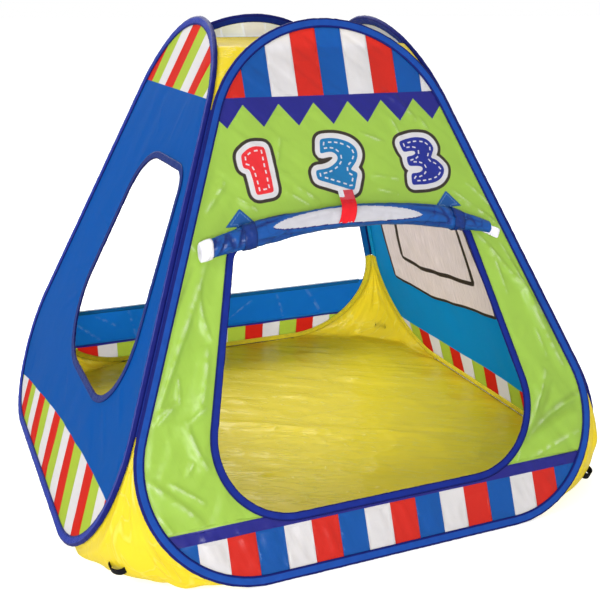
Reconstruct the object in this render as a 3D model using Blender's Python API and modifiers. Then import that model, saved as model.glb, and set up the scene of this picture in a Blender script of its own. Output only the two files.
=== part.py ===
"""Kids play tent: four leaning spring-wire loops sewn together at their side seams.

Metres, +Z up, the front wall faces -Y, and the middle of the floor is the origin.
Every wall is drawn flat in its own panel frame: x runs across the wall, y up the
leaning wall from the ground, and z straight out of its outer face.
"""
import math

import bmesh
import bpy
from mathutils import Matrix, Vector

# Whole tent
HEIGHT = 1.05
FOOT_HALF = 0.64
WALL_LEAN = math.radians(22.5)
CORNER_RADIUS = 0.24
FIT_GAP = 0.0003
SAME_POINT = 0.000001

# Spring wire and the crimped ferrule that joins its ends
WIRE_DIAMETER = 0.0032
WIRE_END_GAP = 0.002
FERRULE_DIAMETER = 0.006
FERRULE_LENGTH = 0.032
FERRULE_CRIMP_DEPTH = 0.0005
FERRULE_CRIMP_WIDTH = 0.004

# Wall cloth and the folded sleeve that holds the wire and clasps the cloth
CLOTH_THICKNESS = 0.0008
SLEEVE_CLOTH = 0.0012
SLEEVE_WIDTH = 0.020
CLOTH_REACH_IN_SLEEVE = 0.010

# Folded binding of the doorway, the window and the two hems of the back wall
BINDING_CLOTH = 0.0010
BINDING_WIDTH = 0.016
CLOTH_REACH_IN_BINDING = 0.004

# Side seams, which are also the fold lines
SEAM_SET_BACK = 0.0003
SEAM_DEPTH_GAP = 0.0003

# Doorway in the front wall: clear opening inside its binding, its half widths as shares of the wall's
DOOR_SILL = 0.126
DOOR_HEAD = 0.662
DOOR_HEAD_RISE = 0.036
DOOR_SILL_HALF_SHARE = 0.676
DOOR_HEAD_HALF_SHARE = 0.697
DOOR_SILL_RADIUS = 0.15
DOOR_HEAD_RADIUS = 0.03
DOOR_RISE_RADIUS = 0.80

# Window in the left wall: clear opening inside its binding, its corners as shares of the wall's half width
WINDOW_SILL = 0.292
WINDOW_HEAD = 0.809
WINDOW_SILL_BACK_SHARE = -0.374
WINDOW_SILL_FRONT_SHARE = 0.718
WINDOW_HEAD_BACK_SHARE = -0.12
WINDOW_HEAD_FRONT_SHARE = 0.79
WINDOW_SILL_RADIUS = 0.16
WINDOW_HEAD_BACK_RADIUS = 0.16
WINDOW_HEAD_FRONT_RADIUS = 0.05

# Back wall: half-height lower panel and arch-shaped top panel, open between them
BACK_SILL = 0.225
BACK_TOP_PANEL = 0.1715

# Floor and roof sheets, each with four corner gussets that reach up or down to a seam
SHEET_THICKNESS = 0.0008
ROOF_BELOW_TOP = 0.0585
FLOOR_BULGE_SHARE = 0.15
ROOF_BULGE_SHARE = 0.10
FLAT_RIM = 0.020

# Rolled door flap, held up over the doorway: its ends as shares of the wall's half width
ROLL_LEFT_SHARE = -0.90
ROLL_RIGHT_SHARE = 0.829
ROLL_MIDDLE_OVER_HEAD = 0.044
ROLL_LEFT_OVER_HEAD = -0.002
ROLL_RIGHT_OVER_HEAD = -0.007
ROLL_MIDDLE_RADIUS = 0.027
ROLL_LEFT_RADIUS = 0.021
ROLL_RIGHT_RADIUS = 0.015
ROLL_WALL_GAP = 0.0035
ROLL_TURNS = 2
ROLL_CORE_SHARE = 0.25
ROLL_CLOTH_SHARE = 0.10
FLAP_SEAM_UNDER_HEAD = 0.027
FLAP_SEAM_OUT = 0.002

# Closures and fastenings of the flap
RING_WIDTH = 0.022
TAPE_THICKNESS = 0.0012
PATCH_LENGTH = 0.046
PATCH_WIDTH = 0.022
PATCH_RADIUS = 0.003
PATCH_FROM_EDGE = 0.0513
PATCH_UNDER_HEAD = 0.014
PATCH_TILT = math.radians(-25)
STRAP_LEFT_SHARE = 0.71
STRAP_RIGHT_SHARE = 0.742
STRAP_WIDTH = 0.026
STRAP_THICKNESS = 0.0012
TAB_LEFT_OVER_ROLL = 0.060
TAB_RIGHT_OVER_ROLL = 0.067
TAB_HEIGHT = 0.036
TAB_HALF_WIDTH = 0.034
TAB_STALK_HALF = 0.011
TIE_TOP_OVER_ROLL = 0.066
TIE_ACROSS = 0.002
TIE_WIDTH = 0.034
TIE_THICKNESS = 0.0014
TIE_SEWN_LENGTH = 0.008
TIE_FIRST_ANGLE = math.radians(62)
TIE_LAST_ANGLE = math.radians(-24)

# Webbing loops for pegs, one on each floor gusset
PEG_LOOP_RISE = 0.012
PEG_LOOP_WIDTH = 0.016
PEG_LOOP_THICKNESS = 0.0016
PEG_LOOP_SPAN = 0.037
PEG_LOOP_STEPS = 8

# How finely round stretches are cut
CORNER_STEPS = 9
ARCH_STEPS = 7
OPENING_STEPS = 6
NOSE_STEPS = 4
ROLL_STEPS = 14
SPIRAL_STEPS_PER_TURN = 9
BAND_STEPS = 20
FERRULE_STEPS = 12
GUSSET_ROWS = 8
GUSSET_COLUMNS = 6

LEAN_SIN = math.sin(WALL_LEAN)
LEAN_COS = math.cos(WALL_LEAN)
SIDE_ANGLE = math.atan(LEAN_SIN)
WIRE_RADIUS = WIRE_DIAMETER / 2
FERRULE_RADIUS = FERRULE_DIAMETER / 2
NOSE_BORE = FERRULE_RADIUS + FIT_GAP
SLEEVE_HALF = NOSE_BORE + SLEEVE_CLOTH
CLOTH_HALF = CLOTH_THICKNESS / 2
BINDING_BORE = CLOTH_HALF + FIT_GAP
BINDING_HALF = BINDING_BORE + BINDING_CLOTH
SEAM_DEPTH = SLEEVE_HALF + SEAM_DEPTH_GAP
AXIS_HALF = FOOT_HALF - SEAM_DEPTH * LEAN_COS
EDGE_HALF = AXIS_HALF - SEAM_SET_BACK / math.cos(SIDE_ANGLE)
WALL_TOP = HEIGHT / LEAN_COS
TOP_HALF = EDGE_HALF - LEAN_SIN * WALL_TOP
ARCH_RADIUS = TOP_HALF * math.tan((math.pi / 2 + SIDE_ANGLE) / 2)
ARCH_CENTRE = WALL_TOP - ARCH_RADIUS
CORNER_CENTRE = EDGE_HALF - CORNER_RADIUS * (LEAN_SIN + 1 / math.cos(SIDE_ANGLE))
SEAM_LOW = CORNER_RADIUS * (1 + math.sin(SIDE_ANGLE))
SEAM_HIGH = ARCH_CENTRE + ARCH_RADIUS * math.sin(SIDE_ANGLE)
SEAM_RADIUS = (math.hypot(SEAM_SET_BACK + SLEEVE_HALF, SEAM_DEPTH) - SLEEVE_HALF) - FIT_GAP
BACK_HEAD = WALL_TOP - BACK_TOP_PANEL
ROOF_LEVEL = WALL_TOP - ROOF_BELOW_TOP
ROLL_MIDDLE_UP = DOOR_HEAD + ROLL_MIDDLE_OVER_HEAD
ROLL_LEFT_UP = DOOR_HEAD + ROLL_LEFT_OVER_HEAD
ROLL_RIGHT_UP = DOOR_HEAD + ROLL_RIGHT_OVER_HEAD
ROLL_LEFT_END = ROLL_LEFT_SHARE * (EDGE_HALF - LEAN_SIN * ROLL_LEFT_UP)
ROLL_RIGHT_END = ROLL_RIGHT_SHARE * (EDGE_HALF - LEAN_SIN * ROLL_RIGHT_UP)
FLAP_SEAM_UP = DOOR_HEAD - FLAP_SEAM_UNDER_HEAD
TIE_TOP_UP = ROLL_MIDDLE_UP + TIE_TOP_OVER_ROLL
PATCH_UP = DOOR_HEAD - PATCH_UNDER_HEAD
PATCH_ACROSS = EDGE_HALF - LEAN_SIN * PATCH_UP - PATCH_FROM_EDGE
PEG_LOOP_ROW = GUSSET_ROWS // 4
PEG_LOOP_COLUMN = GUSSET_COLUMNS // 3
QUARTER_TURN = math.pi / 2
TURNS = {"front": 0.0, "right": QUARTER_TURN, "back": math.pi, "left": -QUARTER_TURN}


def clear_scene():
    for item in list(bpy.data.objects):
        bpy.data.objects.remove(item, do_unlink=True)


def new_collection(name):
    group = bpy.data.collections.new(name)
    bpy.context.scene.collection.children.link(group)
    return group


def finish(name, red, green, blue, roughness, metallic=0.0):
    material = bpy.data.materials.new(name)
    material.use_nodes = True
    shader = material.node_tree.nodes["Principled BSDF"]
    shader.inputs["Base Color"].default_value = (red, green, blue, 1.0)
    shader.inputs["Roughness"].default_value = roughness
    shader.inputs["Metallic"].default_value = metallic
    return material


def panel_frame(wall):
    """The wall's own frame: a quarter turn, the foot of its plane, then its lean."""
    foot = Matrix.Translation((0, -FOOT_HALF, 0))
    tilt = Matrix.Rotation(QUARTER_TURN - WALL_LEAN, 4, "X")
    return Matrix.Rotation(TURNS[wall], 4, "Z") @ foot @ tilt


def wall_half(up):
    """Half the width of a wall between its straight side edges."""
    return EDGE_HALF - LEAN_SIN * up


def seam_point(side, up):
    """A point of the fold line between two walls, in the panel frame."""
    return Vector((side * (AXIS_HALF - LEAN_SIN * up), up, -SEAM_DEPTH))


def place(item, collection, material, frame, pivot=None):
    collection.objects.link(item)
    item.data.materials.append(material)
    if pivot is not None:
        item.parent = pivot
        frame = pivot.matrix_world.inverted() @ frame
    item.matrix_basis = frame
    return item


def pivot_at(name, collection, point):
    empty = bpy.data.objects.new(name, None)
    collection.objects.link(empty)
    empty.location = point
    bpy.context.view_layer.update()
    return empty


def rounded_outline(corners, radii, inset, steps):
    """Corners with their own radii, all edges moved inwards by the inset, counter-clockwise."""
    points = []
    count = len(corners)
    for index, corner in enumerate(corners):
        here = Vector(corner)
        before = (here - Vector(corners[index - 1])).normalized()
        after = (Vector(corners[(index + 1) % count]) - here).normalized()
        first = Vector((-before.y, before.x))
        second = Vector((-after.y, after.x))
        spread = (first + second) / (1 + first.dot(second))
        centre = here + spread * radii[index]
        radius = radii[index] - inset
        start = math.atan2(-first.y, -first.x)
        sweep = math.atan2(first.cross(second), first.dot(second))
        for step in range(steps[index] + 1):
            angle = start + sweep * step / steps[index]
            point = centre + Vector((math.cos(angle), math.sin(angle))) * radius
            if not points or (point - points[-1]).length > SAME_POINT:
                points.append(point)
    if (points[0] - points[-1]).length < SAME_POINT:
        points.pop()
    return points


def loop_outline(inset):
    """A wire loop's outline: round bottom corners, straight seams and an arch top."""
    corners = [(-EDGE_HALF, 0), (EDGE_HALF, 0), (TOP_HALF, WALL_TOP), (-TOP_HALF, WALL_TOP)]
    radii = [CORNER_RADIUS, CORNER_RADIUS, ARCH_RADIUS, ARCH_RADIUS]
    steps = [CORNER_STEPS, CORNER_STEPS, ARCH_STEPS, ARCH_STEPS]
    return rounded_outline(corners, radii, inset, steps)


def doorway_outline(outset):
    sill_half = DOOR_SILL_HALF_SHARE * wall_half(DOOR_SILL)
    head_half = DOOR_HEAD_HALF_SHARE * wall_half(DOOR_HEAD)
    corners = [(-sill_half, DOOR_SILL), (sill_half, DOOR_SILL), (head_half, DOOR_HEAD),
               (0, DOOR_HEAD + DOOR_HEAD_RISE), (-head_half, DOOR_HEAD)]
    radii = [DOOR_SILL_RADIUS, DOOR_SILL_RADIUS, DOOR_HEAD_RADIUS, DOOR_RISE_RADIUS, DOOR_HEAD_RADIUS]
    steps = [OPENING_STEPS, OPENING_STEPS, NOSE_STEPS, NOSE_STEPS, NOSE_STEPS]
    return rounded_outline(corners, radii, -outset, steps)


def window_outline(outset):
    sill_half = wall_half(WINDOW_SILL)
    head_half = wall_half(WINDOW_HEAD)
    corners = [(WINDOW_SILL_BACK_SHARE * sill_half, WINDOW_SILL),
               (WINDOW_SILL_FRONT_SHARE * sill_half, WINDOW_SILL),
               (WINDOW_HEAD_FRONT_SHARE * head_half, WINDOW_HEAD),
               (WINDOW_HEAD_BACK_SHARE * head_half, WINDOW_HEAD)]
    room = (corners[2][0] - corners[3][0]) / 2
    radii = [WINDOW_SILL_RADIUS, WINDOW_SILL_RADIUS,
             min(WINDOW_HEAD_FRONT_RADIUS, room), min(WINDOW_HEAD_BACK_RADIUS, room)]
    return rounded_outline(corners, radii, -outset, [OPENING_STEPS] * len(corners))


def clipped(points, level, keep_below):
    """The part of a closed outline on one side of a level line."""
    kept = []
    for index, point in enumerate(points):
        before = points[index - 1]
        if (before.y <= level) != (point.y <= level):
            share = (level - before.y) / (point.y - before.y)
            kept.append(before.lerp(point, share))
        if (point.y <= level) == keep_below:
            kept.append(point)
    return kept


def poly_curve(name, outlines, cyclic, dimensions):
    curve = bpy.data.curves.new(name, "CURVE")
    curve.dimensions = dimensions
    for points in outlines:
        spline = curve.splines.new("POLY")
        spline.points.add(len(points) - 1)
        for target, point in zip(spline.points, points):
            target.co = (point[0], point[1], point[2] if len(point) > 2 else 0, 1)
        spline.use_cyclic_u = cyclic
    return curve


def cloth_panel(name, outlines, thickness):
    """A flat piece of cloth with its holes, as a filled outline of the cloth's thickness."""
    curve = poly_curve(name, outlines, True, "2D")
    curve.fill_mode = "BOTH"
    curve.extrude = thickness / 2
    return bpy.data.objects.new(name, curve)


def folded_profile(name, bore, cloth, width, guides):
    """Cross-section of a folded strip: a round nose and two legs that close on the wall cloth."""
    outer = bore + cloth
    outer_tip = CLOTH_HALF + FIT_GAP + cloth
    inner_tip = CLOTH_HALF + FIT_GAP
    nose = [-QUARTER_TURN + math.pi * step / NOSE_STEPS for step in range(NOSE_STEPS + 1)]
    points = [(width, -outer_tip)]
    points += [(outer - outer * math.cos(angle), outer * math.sin(angle)) for angle in nose]
    points += [(width, outer_tip), (width, inner_tip)]
    points += [(outer - bore * math.cos(angle), bore * math.sin(angle)) for angle in reversed(nose)]
    points += [(width, -inner_tip)]
    profile = bpy.data.objects.new(name, poly_curve(name, [points], True, "2D"))
    profile.data.fill_mode = "NONE"
    profile.hide_render = True
    profile.display_type = "WIRE"
    guides.objects.link(profile)
    return profile


def folded_strip(name, points, cyclic, profile):
    """A folded strip swept along an outline with its nose on the outline."""
    curve = poly_curve(name, [points], cyclic, "3D")
    curve.twist_mode = "Z_UP"
    curve.bevel_mode = "OBJECT"
    curve.bevel_object = profile
    curve.use_fill_caps = not cyclic
    return bpy.data.objects.new(name, curve)


def round_wire(name, points, diameter):
    curve = poly_curve(name, [points], False, "3D")
    curve.bevel_depth = diameter / 2
    curve.bevel_resolution = 1
    curve.use_fill_caps = True
    return bpy.data.objects.new(name, curve)


def turned_tube(name, profile, steps):
    """A closed outline of radius and height turned round the Z axis."""
    mesh = bpy.data.meshes.new(name)
    body = bmesh.new()
    ring = [body.verts.new((radius, 0, height)) for radius, height in profile]
    for index, vertex in enumerate(ring):
        body.edges.new((vertex, ring[(index + 1) % len(ring)]))
    body.to_mesh(mesh)
    body.free()
    item = bpy.data.objects.new(name, mesh)
    screw = item.modifiers.new("Turn", "SCREW")
    screw.steps = steps
    screw.render_steps = steps
    screw.use_merge_vertices = True
    screw.merge_threshold = SAME_POINT
    return item


def thickened(name, body, thickness):
    """An open surface as an object, thickened both ways."""
    mesh = bpy.data.meshes.new(name)
    body.to_mesh(mesh)
    body.free()
    item = bpy.data.objects.new(name, mesh)
    wall = item.modifiers.new("Wall", "SOLIDIFY")
    wall.thickness = thickness
    wall.offset = 0
    wall.use_even_offset = True
    return item


def band_object(name, rows, thickness):
    """A band given as a grid of points, of the given thickness."""
    body = bmesh.new()
    grid = [[body.verts.new(point) for point in row] for row in rows]
    for low, high in zip(grid, grid[1:]):
        for index in range(len(low) - 1):
            body.faces.new((low[index], low[index + 1], high[index + 1], high[index]))
    return thickened(name, body, thickness)


def wire_path():
    """From one wire end in the ferrule, round the loop, to the other end."""
    loop = loop_outline(SLEEVE_HALF)
    start = next(index for index, point in enumerate(loop) if point.x > 0)
    ordered = loop[start:] + loop[:start]
    first = (WIRE_END_GAP / 2, SLEEVE_HALF)
    last = (-WIRE_END_GAP / 2, SLEEVE_HALF)
    return [first] + [tuple(point) for point in ordered] + [last]


def ferrule(name):
    """A crimped steel tube over the two wire ends."""
    half = FERRULE_LENGTH / 2
    crimp = FERRULE_CRIMP_WIDTH / 2
    waist = FERRULE_RADIUS - FERRULE_CRIMP_DEPTH
    bore = WIRE_RADIUS + FIT_GAP
    middle = half / 2
    outside = [(FERRULE_RADIUS, half), (FERRULE_RADIUS, middle + crimp), (waist, middle),
               (FERRULE_RADIUS, middle - crimp), (FERRULE_RADIUS, crimp - middle), (waist, -middle),
               (FERRULE_RADIUS, -middle - crimp), (FERRULE_RADIUS, -half)]
    return turned_tube(name, outside + [(bore, -half), (bore, half)], FERRULE_STEPS)


def add_frame(wall, collection, guide, finishes, pivot):
    """The parts that all four walls share: wire, ferrule and sleeve."""
    frame = panel_frame(wall)
    sleeve = folded_strip(wall + "_frame_sleeve", loop_outline(0)[::-1], True, guide)
    place(sleeve, collection, finishes["sleeve"], frame, pivot)
    wire = round_wire(wall + "_frame_wire", wire_path(), WIRE_DIAMETER)
    place(wire, collection, finishes["steel"], frame, pivot)
    lie = Matrix.Translation((0, SLEEVE_HALF, 0)) @ Matrix.Rotation(QUARTER_TURN, 4, "Y")
    place(ferrule(wall + "_wire_ferrule"), collection, finishes["steel"], frame @ lie, pivot)


def add_seam(name, wall, side, collection, finishes, pivot):
    """The piping of a side seam, which lies on the fold line."""
    ends = [seam_point(side, SEAM_LOW), seam_point(side, SEAM_HIGH)]
    seam = round_wire(name, ends, SEAM_RADIUS * 2)
    place(seam, collection, finishes["sleeve"], panel_frame(wall), pivot)


def add_hem(name, level, profile, collection, finishes, pivot, downwards):
    """The binding along a straight edge of a back wall panel, between the sleeve's legs."""
    inner = clipped(loop_outline(SLEEVE_WIDTH + FIT_GAP), level, True)
    half = max(point.x for point in inner if abs(point.y - level) < SAME_POINT)
    reach = half - BINDING_WIDTH
    ends = [(-reach, level), (reach, level)]
    if not downwards:
        ends.reverse()
    hem = folded_strip(name, ends, False, profile)
    place(hem, collection, finishes["sleeve"], panel_frame("back"), pivot)


def sheet_edge(centre_across, centre_up, radius, angle, inset, depth):
    """A point of a sheet's edge on the inner face of the front wall's sleeve, in the world."""
    reach = radius - inset
    across = centre_across + reach * math.cos(angle)
    up = centre_up + reach * math.sin(angle)
    return panel_frame("front") @ Vector((across, up, -depth))


def gusset_point(edge, share, bulge):
    """Across a corner from the front wall's edge to its mirror image on the right wall."""
    mirror = Vector((-edge.y, -edge.x, edge.z))
    out = Vector((1, -1, 0)).normalized()
    swell = (mirror - edge).length * bulge * math.sin(math.pi * share)
    return edge.lerp(mirror, share) + out * swell


def corner_sheet(name, edges, bulge):
    """A flat sheet with a gusset at each of its four corners."""
    rows = []
    for edge in edges:
        row = []
        for corner in range(4):
            turn = Matrix.Rotation(QUARTER_TURN * corner, 4, "Z")
            for column in range(GUSSET_COLUMNS + 1):
                row.append(turn @ gusset_point(edge, column / GUSSET_COLUMNS, bulge))
        rows.append(row)
    flat = rows[0]
    rim = [point + (Vector((0, 0, point.z)) - point).normalized() * FLAT_RIM for point in flat]
    body = bmesh.new()
    inside = [body.verts.new(point) for point in rim]
    grid = [[body.verts.new(point) for point in row] for row in rows]
    body.faces.new(inside)
    count = len(inside)
    for index in range(count):
        after = (index + 1) % count
        body.faces.new((inside[index], grid[0][index], grid[0][after], inside[after]))
    for low, high in zip(grid, grid[1:]):
        for corner in range(4):
            for column in range(GUSSET_COLUMNS):
                index = corner * (GUSSET_COLUMNS + 1) + column
                body.faces.new((low[index], high[index], high[index + 1], low[index + 1]))
    bmesh.ops.recalc_face_normals(body, faces=body.faces)
    return thickened(name, body, SHEET_THICKNESS)


def floor_edges():
    """Edge points from the flat floor up the round corner to the foot of the side seam."""
    depth = SLEEVE_HALF + FIT_GAP + SHEET_THICKNESS / 2
    forward = SLEEVE_HALF * LEAN_SIN + SLEEVE_HALF + FIT_GAP
    height = SHEET_THICKNESS / 2
    inset = forward * LEAN_SIN + height * LEAN_COS
    low_depth = forward * LEAN_COS - height * LEAN_SIN
    edges = [sheet_edge(CORNER_CENTRE, CORNER_RADIUS, CORNER_RADIUS, -QUARTER_TURN, inset, low_depth)]
    for row in range(1, GUSSET_ROWS + 1):
        angle = -QUARTER_TURN + (QUARTER_TURN + SIDE_ANGLE) * row / GUSSET_ROWS
        edges.append(sheet_edge(CORNER_CENTRE, CORNER_RADIUS, CORNER_RADIUS, angle, SLEEVE_HALF, depth))
    return edges


def roof_edges():
    """Edge points from the flat roof down the arch to the head of the side seam."""
    depth = SLEEVE_HALF + FIT_GAP + SHEET_THICKNESS / 2
    top_angle = math.asin((ROOF_LEVEL - ARCH_CENTRE) / (ARCH_RADIUS - SLEEVE_HALF))
    edges = []
    for row in range(GUSSET_ROWS + 1):
        angle = top_angle + (SIDE_ANGLE - top_angle) * row / GUSSET_ROWS
        edges.append(sheet_edge(0, ARCH_CENTRE, ARCH_RADIUS, angle, SLEEVE_HALF, depth))
    return edges


def roll_radius(across):
    end = ROLL_RIGHT_END if across > 0 else ROLL_LEFT_END
    thin = ROLL_RIGHT_RADIUS if across > 0 else ROLL_LEFT_RADIUS
    return ROLL_MIDDLE_RADIUS + (thin - ROLL_MIDDLE_RADIUS) * (across / end) ** 2


def roll_centre(across):
    """The rolled flap bows over the doorway and keeps its back off the wall."""
    end = ROLL_RIGHT_END if across > 0 else ROLL_LEFT_END
    low = ROLL_RIGHT_UP if across > 0 else ROLL_LEFT_UP
    up = ROLL_MIDDLE_UP + (low - ROLL_MIDDLE_UP) * (across / end) ** 2
    return Vector((across, up, BINDING_HALF + ROLL_WALL_GAP + roll_radius(across)))


def spiral_profile(guides):
    """Cross-section of the roll: a strip wound inwards, with its outer turn at radius one."""
    count = ROLL_TURNS * SPIRAL_STEPS_PER_TURN
    outside = []
    inside = []
    for step in range(count + 1):
        share = step / count
        angle = math.tau * ROLL_TURNS * share
        radius = 1 - (1 - ROLL_CORE_SHARE) * share
        outside.append((radius * math.cos(angle), radius * math.sin(angle)))
        radius -= ROLL_CLOTH_SHARE
        inside.append((radius * math.cos(angle), radius * math.sin(angle)))
    curve = poly_curve("roll_profile", [inside + outside[::-1]], True, "2D")
    profile = bpy.data.objects.new("roll_profile", curve)
    profile.data.fill_mode = "NONE"
    profile.hide_render = True
    profile.display_type = "WIRE"
    guides.objects.link(profile)
    return profile


def flap_roll(profile):
    points = []
    span = ROLL_RIGHT_END - ROLL_LEFT_END
    for step in range(ROLL_STEPS + 1):
        points.append(roll_centre(ROLL_LEFT_END + span * step / ROLL_STEPS))
    roll = folded_strip("door_flap_roll", points, False, profile)
    for target, point in zip(roll.data.splines[0].points, points):
        target.radius = roll_radius(point.x)
    return roll


def band_round_roll(name, middle, width, thickness):
    """A band of tape wound once round the roll, square to the roll's own line."""
    half = width / 2
    bore = max(roll_radius(middle - half), roll_radius(middle + half)) + FIT_GAP
    outer = bore + thickness
    ring = turned_tube(name, [(outer, half), (outer, -half), (bore, -half), (bore, half)], BAND_STEPS)
    along = (roll_centre(middle + half) - roll_centre(middle - half)).normalized()
    return ring, Matrix.Translation(roll_centre(middle)) @ along.to_track_quat("Z", "Y").to_matrix().to_4x4()


def strap_tab(name, across, tip):
    """The flat end of a strap above the roll: an arrowhead whose stalk runs down behind the roll."""
    shoulder = tip - TAB_HEIGHT
    foot = roll_centre(across).y + roll_radius(across) / 2
    outline = [(across - TAB_STALK_HALF, foot), (across + TAB_STALK_HALF, foot),
               (across + TAB_STALK_HALF, shoulder), (across + TAB_HALF_WIDTH, shoulder), (across, tip),
               (across - TAB_HALF_WIDTH, shoulder), (across - TAB_STALK_HALF, shoulder)]
    tab = cloth_panel(name, [outline], TAPE_THICKNESS)
    return tab, Matrix.Translation((0, 0, CLOTH_HALF + FIT_GAP + TAPE_THICKNESS / 2))


def flap_tie():
    """The tie: sewn flat to the wall at its top, then over the front of the roll."""
    centre = roll_centre(TIE_ACROSS)
    radius = roll_radius(TIE_ACROSS) + FIT_GAP * 2 + TIE_THICKNESS / 2
    wall = CLOTH_HALF + FIT_GAP + TIE_THICKNESS / 2
    path = [(TIE_TOP_UP, wall), (TIE_TOP_UP - TIE_SEWN_LENGTH, wall)]
    for step in range(OPENING_STEPS + 1):
        angle = TIE_FIRST_ANGLE + (TIE_LAST_ANGLE - TIE_FIRST_ANGLE) * step / OPENING_STEPS
        path.append((centre.y + radius * math.sin(angle), centre.z + radius * math.cos(angle)))
    half = TIE_WIDTH / 2
    rows = [[(TIE_ACROSS - half, up, out), (TIE_ACROSS + half, up, out)] for up, out in path]
    return band_object("flap_tie", rows, TIE_THICKNESS)


def peg_loop(name, corner):
    """A band of webbing that arches off one flat patch of a floor gusset, its two ends sewn down."""
    edges = floor_edges()
    lower = edges[PEG_LOOP_ROW]
    upper = edges[PEG_LOOP_ROW + 1]
    shares = (PEG_LOOP_COLUMN / GUSSET_COLUMNS, (PEG_LOOP_COLUMN + 1) / GUSSET_COLUMNS)
    low = [gusset_point(lower, share, FLOOR_BULGE_SHARE) for share in shares]
    high = [gusset_point(upper, share, FLOOR_BULGE_SHARE) for share in shares]
    middle = (low[0] + low[1] + high[0] + high[1]) / 4
    along = (low[1] - low[0] + high[1] - high[0]).normalized()
    out = along.cross(high[0] + high[1] - low[0] - low[1]).normalized()
    rise = out.cross(along)
    lift = (SHEET_THICKNESS + PEG_LOOP_THICKNESS) / 2 + FIT_GAP
    rows = []
    for step in range(PEG_LOOP_STEPS + 1):
        angle = math.pi * step / PEG_LOOP_STEPS
        point = middle - along * math.cos(angle) * PEG_LOOP_SPAN / 2
        point = point + out * (lift + PEG_LOOP_RISE * math.sin(angle))
        half = rise * PEG_LOOP_WIDTH / 2
        rows.append([point - half, point + half])
    return band_object(name, rows, PEG_LOOP_THICKNESS), Matrix.Rotation(QUARTER_TURN * corner, 4, "Z")


def patch_outline():
    half_long = PATCH_LENGTH / 2
    half_wide = PATCH_WIDTH / 2
    corners = [(-half_long, -half_wide), (half_long, -half_wide),
               (half_long, half_wide), (-half_long, half_wide)]
    return rounded_outline(corners, [PATCH_RADIUS] * 4, 0, [2] * 4)


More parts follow.
